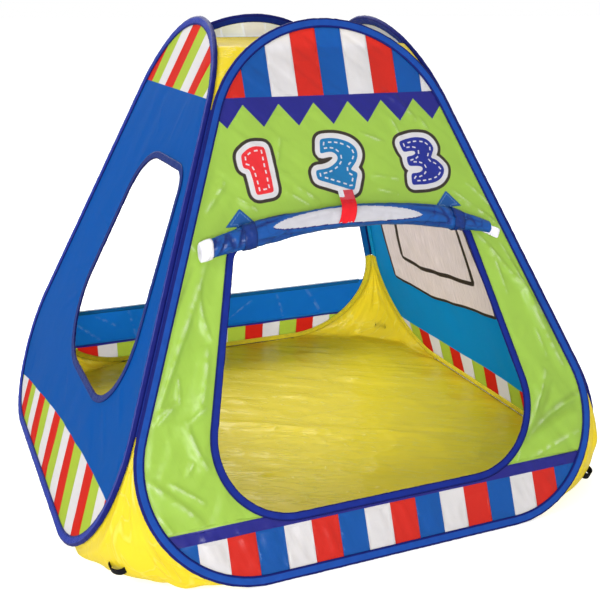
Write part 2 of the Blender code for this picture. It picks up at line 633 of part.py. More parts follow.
def build():
    clear_scene()
    tent = new_collection("kids_play_tent")
    guides = new_collection("guides")
    finishes = {
        "front": finish("lime_polyester", 0.38, 0.64, 0.09, 0.5),
        "side": finish("blue_polyester", 0.01, 0.12, 0.45, 0.5),
        "inner": finish("teal_polyester", 0.0, 0.19, 0.42, 0.5),
        "sleeve": finish("blue_sleeve_tape", 0.02, 0.08, 0.39, 0.55),
        "sheet": finish("yellow_sheet", 0.69, 0.58, 0.03, 0.5),
        "white": finish("white_hook_tape", 0.8, 0.8, 0.8, 0.7),
        "red": finish("red_tie_tape", 0.75, 0.03, 0.03, 0.6),
        "black": finish("black_webbing", 0.01, 0.01, 0.01, 0.8),
        "steel": finish("spring_steel", 0.45, 0.45, 0.46, 0.35, 1.0),
    }
    sleeve_guide = folded_profile("sleeve_profile", NOSE_BORE, SLEEVE_CLOTH, SLEEVE_WIDTH, guides)
    binding_guide = folded_profile("binding_profile", BINDING_BORE, BINDING_CLOTH, BINDING_WIDTH, guides)
    roll_guide = spiral_profile(guides)
    front = panel_frame("front")
    left_pivot = pivot_at("left_wall_pivot", tent, front @ seam_point(-1, SEAM_LOW))
    right_pivot = pivot_at("right_wall_pivot", tent, front @ seam_point(1, SEAM_LOW))
    back_pivot = pivot_at("back_wall_pivot", tent, panel_frame("left") @ seam_point(-1, SEAM_LOW))
    back_pivot.parent = left_pivot
    back_pivot.matrix_parent_inverse = left_pivot.matrix_world.inverted()
    flap_pivot = pivot_at("door_flap_pivot", tent, front @ Vector((0, FLAP_SEAM_UP, FLAP_SEAM_OUT)))
    tie_out = CLOTH_HALF + FIT_GAP + TIE_THICKNESS / 2
    tie_pivot = pivot_at("flap_tie_pivot", tent, front @ Vector((0, TIE_TOP_UP, tie_out)))

    cloth_edge = loop_outline(CLOTH_REACH_IN_SLEEVE)
    for wall, pivot in (("front", None), ("left", left_pivot), ("right", right_pivot), ("back", back_pivot)):
        add_frame(wall, tent, sleeve_guide, finishes, pivot)

    outlines = [cloth_edge, doorway_outline(CLOTH_REACH_IN_BINDING)]
    place(cloth_panel("front_wall", outlines, CLOTH_THICKNESS), tent, finishes["front"], front)
    outlines = [cloth_edge, window_outline(CLOTH_REACH_IN_BINDING)]
    left = panel_frame("left")
    place(cloth_panel("left_wall", outlines, CLOTH_THICKNESS), tent, finishes["side"], left, left_pivot)
    right = panel_frame("right")
    inner = cloth_panel("right_wall", [cloth_edge], CLOTH_THICKNESS)
    place(inner, tent, finishes["inner"], right, right_pivot)
    back = panel_frame("back")
    lower = clipped(cloth_edge, BACK_SILL - CLOTH_REACH_IN_BINDING, True)
    place(cloth_panel("back_lower_wall", [lower], CLOTH_THICKNESS), tent, finishes["side"], back, back_pivot)
    upper = clipped(cloth_edge, BACK_HEAD + CLOTH_REACH_IN_BINDING, False)
    place(cloth_panel("back_top_wall", [upper], CLOTH_THICKNESS), tent, finishes["side"], back, back_pivot)

    doorway = folded_strip("doorway_binding", doorway_outline(0), True, binding_guide)
    place(doorway, tent, finishes["sleeve"], front)
    window = folded_strip("window_binding", window_outline(0), True, binding_guide)
    place(window, tent, finishes["sleeve"], left, left_pivot)
    add_hem("back_lower_hem", BACK_SILL, binding_guide, tent, finishes, back_pivot, True)
    add_hem("back_top_hem", BACK_HEAD, binding_guide, tent, finishes, back_pivot, False)

    add_seam("front_left_seam", "front", -1, tent, finishes, None)
    add_seam("front_right_seam", "front", 1, tent, finishes, None)
    add_seam("back_left_seam", "left", -1, tent, finishes, left_pivot)
    add_seam("back_right_seam", "right", 1, tent, finishes, right_pivot)

    ground = corner_sheet("ground_sheet", floor_edges(), FLOOR_BULGE_SHARE)
    place(ground, tent, finishes["sheet"], Matrix())
    roof = corner_sheet("roof_sheet", roof_edges(), ROOF_BULGE_SHARE)
    place(roof, tent, finishes["sheet"], Matrix())

    place(flap_roll(roll_guide), tent, finishes["side"], front, flap_pivot)
    middle = ROLL_LEFT_END + RING_WIDTH / 2
    ring, lie = band_round_roll("flap_closure_ring", middle, RING_WIDTH, TAPE_THICKNESS)
    place(ring, tent, finishes["white"], front @ lie, flap_pivot)
    straps = (("left", STRAP_LEFT_SHARE * ROLL_LEFT_END, TAB_LEFT_OVER_ROLL),
              ("right", STRAP_RIGHT_SHARE * ROLL_RIGHT_END, TAB_RIGHT_OVER_ROLL))
    for side, across, over in straps:
        band, lie = band_round_roll("flap_strap_" + side, across, STRAP_WIDTH, STRAP_THICKNESS)
        place(band, tent, finishes["side"], front @ lie, flap_pivot)
        tab, lie = strap_tab("strap_tab_" + side, across, roll_centre(across).y + over)
        place(tab, tent, finishes["side"], front @ lie, flap_pivot)
    place(flap_tie(), tent, finishes["red"], front, tie_pivot)
    patch_out = CLOTH_HALF + FIT_GAP + TAPE_THICKNESS / 2
    lie = Matrix.Translation((PATCH_ACROSS, PATCH_UP, patch_out)) @ Matrix.Rotation(PATCH_TILT, 4, "Z")
    patch = cloth_panel("wall_closure_patch", [patch_outline()], TAPE_THICKNESS)
    place(patch, tent, finishes["white"], front @ lie)

    corners = (("front_right", 0, None), ("back_right", 1, right_pivot),
               ("back_left", 2, left_pivot), ("front_left", 3, None))
    for name, corner, pivot in corners:
        loop, turn = peg_loop("peg_loop_" + name, corner)
        place(loop, tent, finishes["black"], turn, pivot)


build()
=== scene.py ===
"""Kids play tent, dressed: printed polyester cloth on four leaning wire loops.

Metres, +Z up, the front wall faces -Y. A wall is worked out in its own panel frame:
across the wall, up the leaning wall from the ground, and out of its outer face.
"""
import math

import bmesh
import bpy
import numpy as np
from mathutils import Matrix, Vector
from mathutils.geometry import delaunay_2d_cdt


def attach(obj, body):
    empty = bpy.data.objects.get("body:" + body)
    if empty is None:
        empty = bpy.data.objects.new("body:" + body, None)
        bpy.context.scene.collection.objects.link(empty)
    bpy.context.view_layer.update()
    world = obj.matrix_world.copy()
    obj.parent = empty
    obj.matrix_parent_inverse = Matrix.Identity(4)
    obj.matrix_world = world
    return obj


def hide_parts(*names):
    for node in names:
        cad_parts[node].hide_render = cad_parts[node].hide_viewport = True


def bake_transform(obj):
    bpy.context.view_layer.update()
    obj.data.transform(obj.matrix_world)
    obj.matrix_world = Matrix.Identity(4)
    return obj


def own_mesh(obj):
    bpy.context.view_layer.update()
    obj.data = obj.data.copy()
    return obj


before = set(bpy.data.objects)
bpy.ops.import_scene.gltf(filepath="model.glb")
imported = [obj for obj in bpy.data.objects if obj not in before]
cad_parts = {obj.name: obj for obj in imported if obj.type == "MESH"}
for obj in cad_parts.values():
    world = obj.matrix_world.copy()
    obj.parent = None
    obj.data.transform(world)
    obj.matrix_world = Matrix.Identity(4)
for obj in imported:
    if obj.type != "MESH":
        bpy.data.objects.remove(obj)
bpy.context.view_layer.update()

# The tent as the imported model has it
HEIGHT = 1.05
FOOT_HALF = 0.64
WALL_LEAN = math.radians(22.5)
CORNER_RADIUS = 0.24
FIT_GAP = 0.0003
CLOTH_THICKNESS = 0.0008
SLEEVE_BORE = 0.0033
SLEEVE_CLOTH = 0.0012
SLEEVE_WIDTH = 0.020
CLOTH_REACH_IN_SLEEVE = 0.010
BINDING_CLOTH = 0.0010
BINDING_WIDTH = 0.016
CLOTH_REACH_IN_BINDING = 0.004
SEAM_SET_BACK = 0.0003

# Doorway, window and the back wall's two edges
DOOR_SILL = 0.126
DOOR_HEAD = 0.662
DOOR_HEAD_RISE = 0.036
DOOR_SILL_HALF_SHARE = 0.676
DOOR_HEAD_HALF_SHARE = 0.697
DOOR_RADII = (0.15, 0.15, 0.03, 0.80, 0.03)
WINDOW_SILL = 0.292
WINDOW_HEAD = 0.809
WINDOW_SILL_SHARES = (-0.374, 0.718)
WINDOW_HEAD_SHARES = (0.79, -0.12)
WINDOW_RADII = (0.16, 0.16, 0.05, 0.16)
BACK_SILL = 0.225
BACK_TOP_PANEL = 0.1715

# Floor and roof sheets
SHEET_THICKNESS = 0.0008
ROOF_BELOW_TOP = 0.0585
FLOOR_BULGE_SHARE = 0.15
ROOF_BULGE_SHARE = 0.10

# Rolled flap and what holds it
ROLL_ENDS_SHARES = (-0.90, 0.829)
ROLL_OVER_HEAD = (-0.002, 0.044, -0.007)
ROLL_RADII = (0.021, 0.027, 0.015)
ROLL_WALL_GAP = 0.0035
RING_WIDTH = 0.022
RING_RUFFLE = 0.0016
RING_CAP_SHARES = (0.05, 0.35, 0.7, 0.93)
RING_CAP_OUT = (0.0016, 0.0014, 0.0010, 0.0004)
TAPE_THICKNESS = 0.0012
TAPE_PUCKER = 0.0012
HEM_PUCKER = 0.0006
SEWN_EDGE = 0.003
TAPE_RIPPLES = ((0.6, 0.011, 0.014), (0.4, 0.005, 0.008))
STITCH_PITCH = 0.0042
STITCH_LENGTH = 0.0030
STITCH_HALF = 0.00045
PATCH_SIZE = (0.046, 0.022)
PATCH_RADIUS = 0.003
PATCH_FROM_EDGE = 0.0513
PATCH_UNDER_HEAD = 0.014
PATCH_TILT = math.radians(-25)
PATCH_OVER_WALL = 0.0013
STRAP_SHARES = (0.71, 0.742)
STRAP_WIDTH = 0.026
STRAP_RUFFLE = 0.0026
TAB_OVER_ROLL = (0.060, 0.067)
TAB_HEIGHT = 0.036
TAB_HALF_WIDTH = 0.034
TAB_STALK_HALF = 0.011
TAB_OVER_WALL = 0.0016
TIE_TOP_OVER_ROLL = 0.066
TIE_ACROSS = 0.002
TIE_WIDTH = 0.034
TIE_THICKNESS = 0.0014
TIE_SEWN_LENGTH = 0.008
TIE_HIGHEST = math.radians(62)

# Webbing loops for pegs
PEG_LOOP_RISE = 0.012
PEG_LOOP_WIDTH = 0.016
PEG_LOOP_THICKNESS = 0.0016
PEG_LOOP_SPAN = 0.037
PEG_CELL_ROWS = 8
PEG_CELL_COLUMNS = 6
PEG_LOOP_PLACE = (0.42, 0.31)
PEG_LOOP_CLEAR = (0.36, 0.28)

# Worked out from the values above
QUARTER = math.pi / 2
LEAN_SIN = math.sin(WALL_LEAN)
LEAN_COS = math.cos(WALL_LEAN)
SIDE_ANGLE = math.atan(LEAN_SIN)
SLEEVE_HALF = SLEEVE_BORE + SLEEVE_CLOTH
CLOTH_HALF = CLOTH_THICKNESS / 2
BINDING_BORE = CLOTH_HALF + FIT_GAP
BINDING_HALF = BINDING_BORE + BINDING_CLOTH
SEAM_DEPTH = SLEEVE_HALF + FIT_GAP
AXIS_HALF = FOOT_HALF - SEAM_DEPTH * LEAN_COS
EDGE_HALF = AXIS_HALF - SEAM_SET_BACK / math.cos(SIDE_ANGLE)
WALL_TOP = HEIGHT / LEAN_COS
TOP_HALF = EDGE_HALF - LEAN_SIN * WALL_TOP
ARCH_RADIUS = TOP_HALF * math.tan((QUARTER + SIDE_ANGLE) / 2)
ARCH_CENTRE = WALL_TOP - ARCH_RADIUS
CORNER_CENTRE = EDGE_HALF - CORNER_RADIUS * (LEAN_SIN + 1 / math.cos(SIDE_ANGLE))
SEAM_LOW = CORNER_RADIUS * (1 + math.sin(SIDE_ANGLE))
SEAM_HIGH = ARCH_CENTRE + ARCH_RADIUS * math.sin(SIDE_ANGLE)
SEAM_RADIUS = math.hypot(SEAM_SET_BACK + SLEEVE_HALF, SEAM_DEPTH) - SLEEVE_HALF - FIT_GAP
BACK_HEAD = WALL_TOP - BACK_TOP_PANEL
ROOF_LEVEL = WALL_TOP - ROOF_BELOW_TOP

# Fineness of the modelled cloth, and how close its points come to its edges and cuts, in spacings
FRONT_SPACING = 0.0045
WALL_SPACING = 0.0065
SHEET_SPACING = 0.008
BAND_SPACING = 0.005
RING_SPACING = 0.02
PRINT_SPACING = 0.002
CLOTH_SKIN = 0.0006
GUSSET_COLUMNS = 44
FLOOR_ROWS = 48
ROOF_ROWS = 32
NOISE_LATTICE = 256
CLEAR_OF_RINGS = 0.4
CLEAR_OF_CUTS = 0.35
SHORT_CUT = 60


def linear(code):
    """An sRGB hex colour as linear red, green and blue: c/12.92 below 0.04045, else
    ((c+0.055)/1.055)^2.4."""
    parts = np.array([int(code[place:place + 2], 16) for place in (0, 2, 4)]) / 255
    return np.where(parts <= 0.04045, parts / 12.92, ((parts + 0.055) / 1.055) ** 2.4)


def tape_tones(*codes):
    """The colours of a tape: the fold's edge, the face and the sewn edge; an edge darker than the face is
    painted shade.
    """
    return [linear(code) for code in codes]


LIME = linear("A9CD56")
BLUE = linear("0A5AAE")
# Inner faces: lighter tones than the outer print, painted light for the dim inside
BLUE_INSIDE_PAINTED_LIGHTER = linear("1A7AD8")
TEAL_INSIDE_PAINTED_LIGHTER = linear("0A94DC")
NAVY = linear("28298F")
RED = linear("D42A1E")
WHITE = linear("DFDDE1")
TEAL = linear("0A7CB4")
SIDE_LIME = linear("B2C845")
BOARD = linear("E8DDE0")
LINING_WHITE = linear("E8EEFC")
LINING_PINK = linear("E8D4D6")
OUTLINE_BROWN = linear("3E3630")
NUMERAL_BLUE = linear("1F7FB8")
NUMERAL_NAVY = linear("27339A")
NUMERAL_RED = linear("E8343C")


def smooth(share):
    """The curve 3t^2 - 2t^3 between 0 and 1."""
    share = np.clip(share, 0, 1)
    return share * share * (3 - 2 * share)


def noise(spots, cell, seed):
    """Value noise from -1 to 1: random numbers on a square lattice, blended by the smooth curve between
    its points."""
    lattice = np.random.default_rng(seed).uniform(-1, 1, (NOISE_LATTICE, NOISE_LATTICE))
    place = np.asarray(spots) / cell
    whole = np.floor(place).astype(int)
    part = smooth(place - whole)
    column, row = whole[..., 0] % NOISE_LATTICE, whole[..., 1] % NOISE_LATTICE
    right, above = (column + 1) % NOISE_LATTICE, (row + 1) % NOISE_LATTICE
    aside, over = part[..., 0], part[..., 1]
    low = lattice[column, row] * (1 - aside) + lattice[right, row] * aside
    high = lattice[column, above] * (1 - aside) + lattice[right, above] * aside
    return low * (1 - over) + high * over


def creases(spots, cell, seed):
    """Sharp crease lines, 1 on the line and 0 off it: (1 - |n|)^4 of value noise n, at two cell
    sizes."""
    coarse = (1 - np.abs(noise(spots, cell, seed))) ** 4
    fine = (1 - np.abs(noise(spots, cell * 0.45, seed + 1))) ** 4
    return coarse * 0.7 + fine * 0.3


def ripples(along, aside, length, width, seed):
    """Value noise over places along and aside, with cells of this length and width."""
    return noise(np.stack([along / length, aside / width], -1), 1.0, seed)


def streaks(spots, angle, length, width, seed):
    """Long soft folds: value noise on coordinates turned by the angle, stretched along it."""
    along = spots[..., 0] * math.cos(angle) + spots[..., 1] * math.sin(angle)
    aside = spots[..., 1] * math.cos(angle) - spots[..., 0] * math.sin(angle)
    return ripples(along, aside, length, width, seed)


def fold_lines(spots, folds):
    """Separate folds: each follows a parabola from its start to its end, has a round crest that falls
    off by e^(-(d/w)^2), over its width w on its left and twice that on its right, and dies out at both
    ends."""
    folds = np.array(folds)
    start, run = folds[:, :2], folds[:, 2:4] - folds[:, :2]
    bow, width, height = folds[:, 4:].T
    length = np.linalg.norm(run, axis=1)
    along = run / length[:, None]
    offset = spots[:, None] - start
    share = np.clip((offset * along).sum(-1) / length, 0, 1)
    aside = offset[..., 1] * along[:, 0] - offset[..., 0] * along[:, 1]
    aside -= bow * 4 * share * (1 - share)
    reach = np.where(aside > 0, width, 2 * width)
    return (height * np.sin(math.pi * share) ** 0.5 * np.exp(-(aside / reach) ** 2)).sum(1)


def evened(points, spacing, closed=True):
    """The same line with points at equal steps of its own length."""
    if closed:
        points = np.concatenate([points, points[:1]])
    steps = np.linalg.norm(np.diff(points, axis=0), axis=1)
    points = points[np.concatenate([[True], steps > 1e-7])]
    length = np.concatenate([[0], np.cumsum(np.linalg.norm(np.diff(points, axis=0), axis=1))])
    count = max(3, round(length[-1] / spacing))
    stations = np.linspace(0, length[-1], count + 1)
    line = np.stack([np.interp(stations, length, values) for values in points.T], -1)
    return line[:-1] if closed else line


def rounded(corners, radii, inset, spacing):
    """A counter-clockwise ring: edges moved inwards by the inset, each corner an arc of its radius less
    the inset."""
    arcs = []
    corners = np.array(corners, float)
    for index, corner in enumerate(corners):
        before = corner - corners[index - 1]
        after = corners[(index + 1) % len(corners)] - corner
        first = np.array([-before[1], before[0]]) / np.linalg.norm(before)
        second = np.array([-after[1], after[0]]) / np.linalg.norm(after)
        centre = corner + (first + second) / (1 + first @ second) * radii[index]
        start = math.atan2(-first[1], -first[0])
        sweep = math.atan2(first[0] * second[1] - first[1] * second[0], first @ second)
        angle = start + sweep * np.linspace(0, 1, 24)
        arcs.append(centre + (radii[index] - inset) * np.stack([np.cos(angle), np.sin(angle)], -1))
    return evened(np.concatenate(arcs), spacing)


def wall_half(up):
    """Half the wall's width at a height up it: the foot's half less the height times the lean's sine."""
    return EDGE_HALF - LEAN_SIN * up


def loop_ring(inset, spacing=RING_SPACING):
    """A wire loop's outline: round bottom corners, straight seams and an arch top."""
    corners = [(-EDGE_HALF, 0), (EDGE_HALF, 0), (TOP_HALF, WALL_TOP), (-TOP_HALF, WALL_TOP)]
    return rounded(corners, [CORNER_RADIUS, CORNER_RADIUS, ARCH_RADIUS, ARCH_RADIUS], inset, spacing)


def doorway_ring(outset, spacing=RING_SPACING):
    """The doorway: sill and head are shares of the wall's width there, and the head's middle is
    raised."""
    sill = DOOR_SILL_HALF_SHARE * wall_half(DOOR_SILL)
    head = DOOR_HEAD_HALF_SHARE * wall_half(DOOR_HEAD)
    corners = [(-sill, DOOR_SILL), (sill, DOOR_SILL), (head, DOOR_HEAD),
               (0, DOOR_HEAD + DOOR_HEAD_RISE), (-head, DOOR_HEAD)]
    return rounded(corners, DOOR_RADII, -outset, spacing)


def window_ring(outset, spacing=RING_SPACING):
    """The window, whose rounder head corner takes at most half of the head's length."""
    sill, head = wall_half(WINDOW_SILL), wall_half(WINDOW_HEAD)
    corners = [(share * sill, WINDOW_SILL) for share in WINDOW_SILL_SHARES]
    corners += [(share * head, WINDOW_HEAD) for share in WINDOW_HEAD_SHARES]
    room = (corners[2][0] - corners[3][0]) / 2
    return rounded(corners, [min(radius, room) for radius in WINDOW_RADII], -outset, spacing)


def left_of(line, closed=True):
    """Unit vectors to the left of a flat line's direction, from central differences."""
    if closed:
        run = np.roll(line, -1, 0) - np.roll(line, 1, 0)
    else:
        run = np.gradient(line, axis=0)
    run /= np.linalg.norm(run, axis=1, keepdims=True)
    return np.stack([-run[:, 1], run[:, 0]], -1)


def inside(spots, ring):
    """Which spots lie in a ring: the edges that a ray to the right crosses are an odd number."""
    start, end = ring, np.roll(ring, -1, 0)
    level = spots[:, 1:2]
    crosses = (start[:, 1] > level) != (end[:, 1] > level)
    rise = end[:, 1] - start[:, 1]
    rise = np.where(np.abs(rise) < 1e-12, 1e-12, rise)
    meet = start[:, 0] + (level - start[:, 1]) / rise * (end[:, 0] - start[:, 0])
    return (crosses & (spots[:, :1] < meet)).sum(1) % 2 == 1


def distance_to(spots, ring):
    """The least distance from each spot to a ring's edges."""
    edge = np.roll(ring, -1, 0) - ring
    offset = spots[:, None] - ring[None]
    share = np.clip((offset * edge).sum(-1) / (edge * edge).sum(-1), 0, 1)
    return np.linalg.norm(offset - share[..., None] * edge, axis=-1).min(1)


def offset_ring(ring, distance):
    """A ring moved outwards, without the points that come nearer to the first ring than the distance."""
    moved = ring - left_of(ring) * distance
    kept = moved[distance_to(moved, ring) > abs(distance) * 0.985]
    return evened(kept, PRINT_SPACING)


WALL_TURNS = {"front": 0.0, "right": QUARTER, "back": math.pi, "left": -QUARTER}


def to_world(wall, points):
    """Panel points (across, up, out) in the tent's frame: the wall's quarter turn, its foot, then its
    lean."""
    lean = Matrix.Translation((0, -FOOT_HALF, 0)) @ Matrix.Rotation(QUARTER - WALL_LEAN, 4, "X")
    turn = np.array(Matrix.Rotation(WALL_TURNS[wall], 4, "Z") @ lean)
    return points @ turn[:3, :3].T + turn[:3, 3]


def paint(mesh, name, colours, sides):
    """Writes a colour for each face to its corners; a fourth column, if there is one, is the wood
    grain's share."""
    colours = np.broadcast_to(colours, (len(sides), np.shape(colours)[-1]))
    if colours.shape[1] == 3:
        colours = np.concatenate([colours, np.ones((len(sides), 1))], 1)
    layer = mesh.color_attributes.new(name, "FLOAT_COLOR", "CORNER")
    layer.data.foreach_set("color", np.repeat(colours, sides, axis=0).astype(np.float32).ravel())


def new_piece(name, points, faces, material, uv=None, dye=None, thickness=0):
    """A mesh piece from arrays; uv has a row for each face corner and dye one colour or a colour for
    each face."""
    mesh = bpy.data.meshes.new(name)
    mesh.from_pydata(np.asarray(points).reshape(-1, 3).tolist(), [], [list(face) for face in faces])
    if uv is not None:
        mesh.uv_layers.new(name="UVMap").data.foreach_set("uv", np.asarray(uv, np.float32).ravel())
    if dye is not None:
        paint(mesh, "dye", dye, [len(face) for face in faces])
    mesh.polygons.foreach_set("use_smooth", [True] * len(mesh.polygons))
    mesh.materials.append(material)
    mesh.validate()
    mesh.update()
    piece = bpy.data.objects.new(name, mesh)
    bpy.context.scene.collection.objects.link(piece)
    if thickness:
        skin = piece.modifiers.new("Cloth", "SOLIDIFY")
        skin.thickness = thickness
        skin.offset = 0
    return piece


def grid_quads(rows, columns, rows_closed=False, columns_closed=False):
    """Quads of a grid as vertex numbers, and the same quads on the grid that keeps its seam open, for
    the UV map."""
    down = np.arange(rows if rows_closed else rows - 1)
    over = np.arange(columns if columns_closed else columns - 1)
    row, column = (axis.ravel() for axis in np.meshgrid(down, over, indexing="ij"))
    corners = ((0, 0), (0, 1), (1, 1), (1, 0))
    quads = [((row + r) % rows) * columns + (column + c) % columns for r, c in corners]
    wide = columns + (1 if columns_closed else 0)
    flat = [(row + r) * wide + column + c for r, c in corners]
    return np.stack(quads, -1), np.stack(flat, -1)


def volume(points, quads):
    """The signed volume inside quads, from the tetrahedra that each half quad makes with the origin."""
    a, b, c, d = (points[quads[:, corner]] for corner in range(4))
    return ((a * np.cross(b, c)).sum() + (a * np.cross(c, d)).sum()) / 6


def grid_piece(name, grid, material, rows_closed=False, columns_closed=False, uv=None, dye=None,
               thickness=0):
    """A surface from a grid of points; an end of a closed profile gets one flat face."""
    rows, columns = grid.shape[:2]
    points = grid.reshape(-1, 3)
    quads, flat = grid_quads(rows, columns, rows_closed, columns_closed)
    turned = columns_closed and not thickness and volume(points, quads) < 0
    if turned:
        quads, flat = quads[:, ::-1], flat[:, ::-1]
    corner_uv = None
    if uv is not None:
        corner_uv = uv.reshape(-1, 2)[flat.ravel()]
    faces = quads.tolist()
    if columns_closed and not rows_closed and not thickness:
        first = list(range(columns))
        last = [(rows - 1) * columns + column for column in range(columns)]
        faces += [first, last[::-1]] if turned else [first[::-1], last]
        if uv is not None:
            corner_uv = np.concatenate([corner_uv, np.zeros((2 * columns, 2))])
        if dye is not None and np.ndim(dye) == 2:
            dye = np.concatenate([dye, dye[:1], dye[-1:]])
    return new_piece(name, points, faces, material, corner_uv, dye, thickness)


def between(spots, rings):
    """Which spots lie in the first ring and in none of the others."""
    free = inside(spots, rings[0])
    for ring in rings[1:]:
        free &= ~inside(spots, ring)
    return free


def hex_grid(outline, spacing):
    """Points of a hexagonal grid over an outline's box."""
    low, high = outline.min(0), outline.max(0)
    rows = np.arange(low[1], high[1], spacing * math.sqrt(3) / 2)
    across, up = np.meshgrid(np.arange(low[0], high[0], spacing), rows)
    across = across + (np.arange(len(rows)) % 2)[:, None] * spacing / 2
    return np.stack([across.ravel(), up.ravel()], -1)


def joined(spots, lines):
    """Triangles between spots by the Delaunay rule, whose edges follow the lines; each line is open or
    closed."""
    points, edges, first = [spots], [], len(spots)
    for line, closed in lines:
        number = np.arange(len(line)) + first
        pairs = np.stack([number, np.roll(number, -1)], -1)
        edges += (pairs if closed else pairs[:-1]).tolist()
        points.append(line)
        first += len(line)
    found = delaunay_2d_cdt(np.concatenate(points).tolist(), edges, [], 0, 1e-7, False)
    return np.array([tuple(point) for point in found[0]]), np.array(found[2])


def cloth_piece(name, wall, rings, cuts, spacing, relief, dye, material, thickness=CLOTH_SKIN,
                lining=None, inner=None):
    """Cloth in a ring, with holes: hexagonal points joined into triangles, whose edges follow the rings
    and the print's cuts, lifted off the panel by the relief and dyed face by face. A lining is the
    colour of the cloth's inner face, where that differs, and inner is its material."""
    spots = hex_grid(rings[0], spacing)
    keep = between(spots, rings)
    for ring in rings:
        keep &= distance_to(spots, ring) > spacing * CLEAR_OF_RINGS
    for line, _ in cuts:
        if len(line) < SHORT_CUT:
            keep &= distance_to(spots, line) > spacing * CLEAR_OF_CUTS
    edges = [evened(ring, spacing) for ring in rings]
    spots, faces = joined(spots[keep], [(edge, True) for edge in edges] + cuts)
    middle = spots[faces].mean(1)
    keep = between(middle, edges)
    faces, middle = faces[keep], middle[keep]
    used, numbers = np.unique(faces, return_inverse=True)
    faces, spots = numbers.reshape(-1, 3), spots[used]
    points = to_world(wall, np.column_stack([spots, relief(spots)]))
    uv = spots[faces.ravel()]
    piece = new_piece(name, points, faces.tolist(), material, uv, dye(middle), thickness)
    if lining is not None:
        paint(piece.data, "lining", lining(middle), [3] * len(faces))
        piece.data.materials.append(inner)
        piece.modifiers["Cloth"].material_offset = 1
    return piece


def plain(colour):
    """A dye that is one colour all over."""
    return lambda spots: np.tile(colour, (len(spots), 1))


def feed(tree, node, links):
    """Links a node's inputs, each to a socket or to the first output of a node."""
    for key, source in links.items():
        tree.links.new(getattr(source, "outputs", [source])[0], node.inputs[key])
    return node


def add(tree, kind, settings=(), links=()):
    """Adds a shader node: a lower-case setting is its property, any other an input's value, and links
    feed inputs."""
    node = tree.nodes.new("ShaderNode" + kind)
    for key, value in dict(settings).items():
        if isinstance(key, str) and key[0].islower():
            setattr(node, key, value)
        else:
            node.inputs[key].default_value = value
    return feed(tree, node, dict(links))


def start_material(name, roughness, **sockets):
    """A material, its nodes and its main shader, with the shader's sockets set."""
    material = bpy.data.materials.new(name)
    material.use_nodes = True
    shader = material.node_tree.nodes["Principled BSDF"]
    shader.inputs["Roughness"].default_value = roughness
    for key, value in sockets.items():
        shader.inputs[key.replace("_", " ")].default_value = value
    return material, material.node_tree, shader


def wave_scale(period):
    """Blender's wave texture repeats every 2 pi / (20 scale)."""
    return math.pi / (10 * period)


def shine_through(material, tree, shader, colour, normal, share):
    """Lets a share of the light that falls on the back come through, as thin cloth does. The cloth has
    two skins, so each takes the square root of the colour."""
    root = add(tree, "Gamma", {"Gamma": 0.5}, {"Color": colour})
    behind = add(tree, "BsdfTranslucent", {}, {"Color": root, "Normal": normal})
    mixed = add(tree, "MixShader", {"Fac": share}, {1: shader, 2: behind})
    feed(tree, tree.nodes["Material Output"], {"Surface": mixed})
    return material


def printed_taffeta(name, dye_name, glossy, share=0.5):
    """Polyester taffeta, woven tight, transfer printed and calendered: a crisp cloth with a soft gloss,
    whose creases catch thin lights and that lets light through. Its real thread is 0.2 mm; the weave is
    drawn at 1.4 mm so that it shows. Where the dye's alpha is 0 the print is wood grain, fine lines 3 mm
    apart. The blue cloth isn't calendered, so it is more matt."""
    level, smoothest, roughest = (0.4, 0.24, 0.36) if glossy else (0.04, 0.50, 0.66)
    material, tree, shader = start_material(name, smoothest, Specular_IOR_Level=level)
    place = add(tree, "UVMap", {"uv_map": "UVMap"})
    dye = add(tree, "Attribute", {"attribute_name": dye_name})
    cloud = add(tree, "TexNoise", {"Scale": 1 / 0.07, "Detail": 3.0}, {"Vector": place})
    value = add(tree, "MapRange", {"To Min": 0.93, "To Max": 1.05}, {"Value": cloud})
    gloss = add(tree, "MapRange", {"To Min": smoothest, "To Max": roughest}, {"Value": cloud})
    lengthwise = add(tree, "Mapping", {"vector_type": "TEXTURE", "Scale": (0.003, 0.05, 1.0),
                                       "Rotation": (0, 0, 0.12)}, {"Vector": place})
    grain = add(tree, "TexNoise", {"Scale": 1.0, "Detail": 3.0}, {"Vector": lengthwise})
    wooden = add(tree, "MapRange", {"From Min": 0.3, "From Max": 0.7, "To Min": 0.80, "To Max": 1.08},
                 {"Value": grain})
    tone = add(tree, "Mix", {"data_type": "FLOAT"}, {0: dye.outputs["Alpha"], 2: wooden, 3: value})
    toned = add(tree, "HueSaturation", {}, {"Color": dye, "Value": tone})
    crumple = add(tree, "TexNoise", {"noise_type": "RIDGED_MULTIFRACTAL", "Scale": 1 / 0.05,
                                     "Detail": 4.0, "Distortion": 0.6}, {"Vector": place})
    drawn = add(tree, "Mapping", {"vector_type": "TEXTURE", "Scale": (0.006, 0.15, 1.0),
                                  "Rotation": (0, 0, 0.3)}, {"Vector": place})
    pulls = add(tree, "TexNoise", {"Scale": 1.0, "Detail": 2.0}, {"Vector": drawn})
    weft, warp = (add(tree, "TexWave", {"bands_direction": way, "Scale": wave_scale(0.0014)},
                      {"Vector": place}) for way in "XY")
    weave = add(tree, "Math", {"operation": "MULTIPLY"}, {0: weft.outputs["Fac"], 1: warp.outputs["Fac"]})
    pulled = add(tree, "Bump", {"Strength": 0.35, "Distance": 0.0006}, {"Height": pulls})
    folded = add(tree, "Bump", {"Strength": 0.5, "Distance": 0.0016},
                 {"Height": crumple, "Normal": pulled})
    woven = add(tree, "Bump", {"Strength": 0.2, "Distance": 0.0002}, {"Height": weave, "Normal": folded})
    feed(tree, shader, {"Base Color": toned, "Roughness": gloss, "Normal": woven})
    return shine_through(material, tree, shader, toned, woven, share)


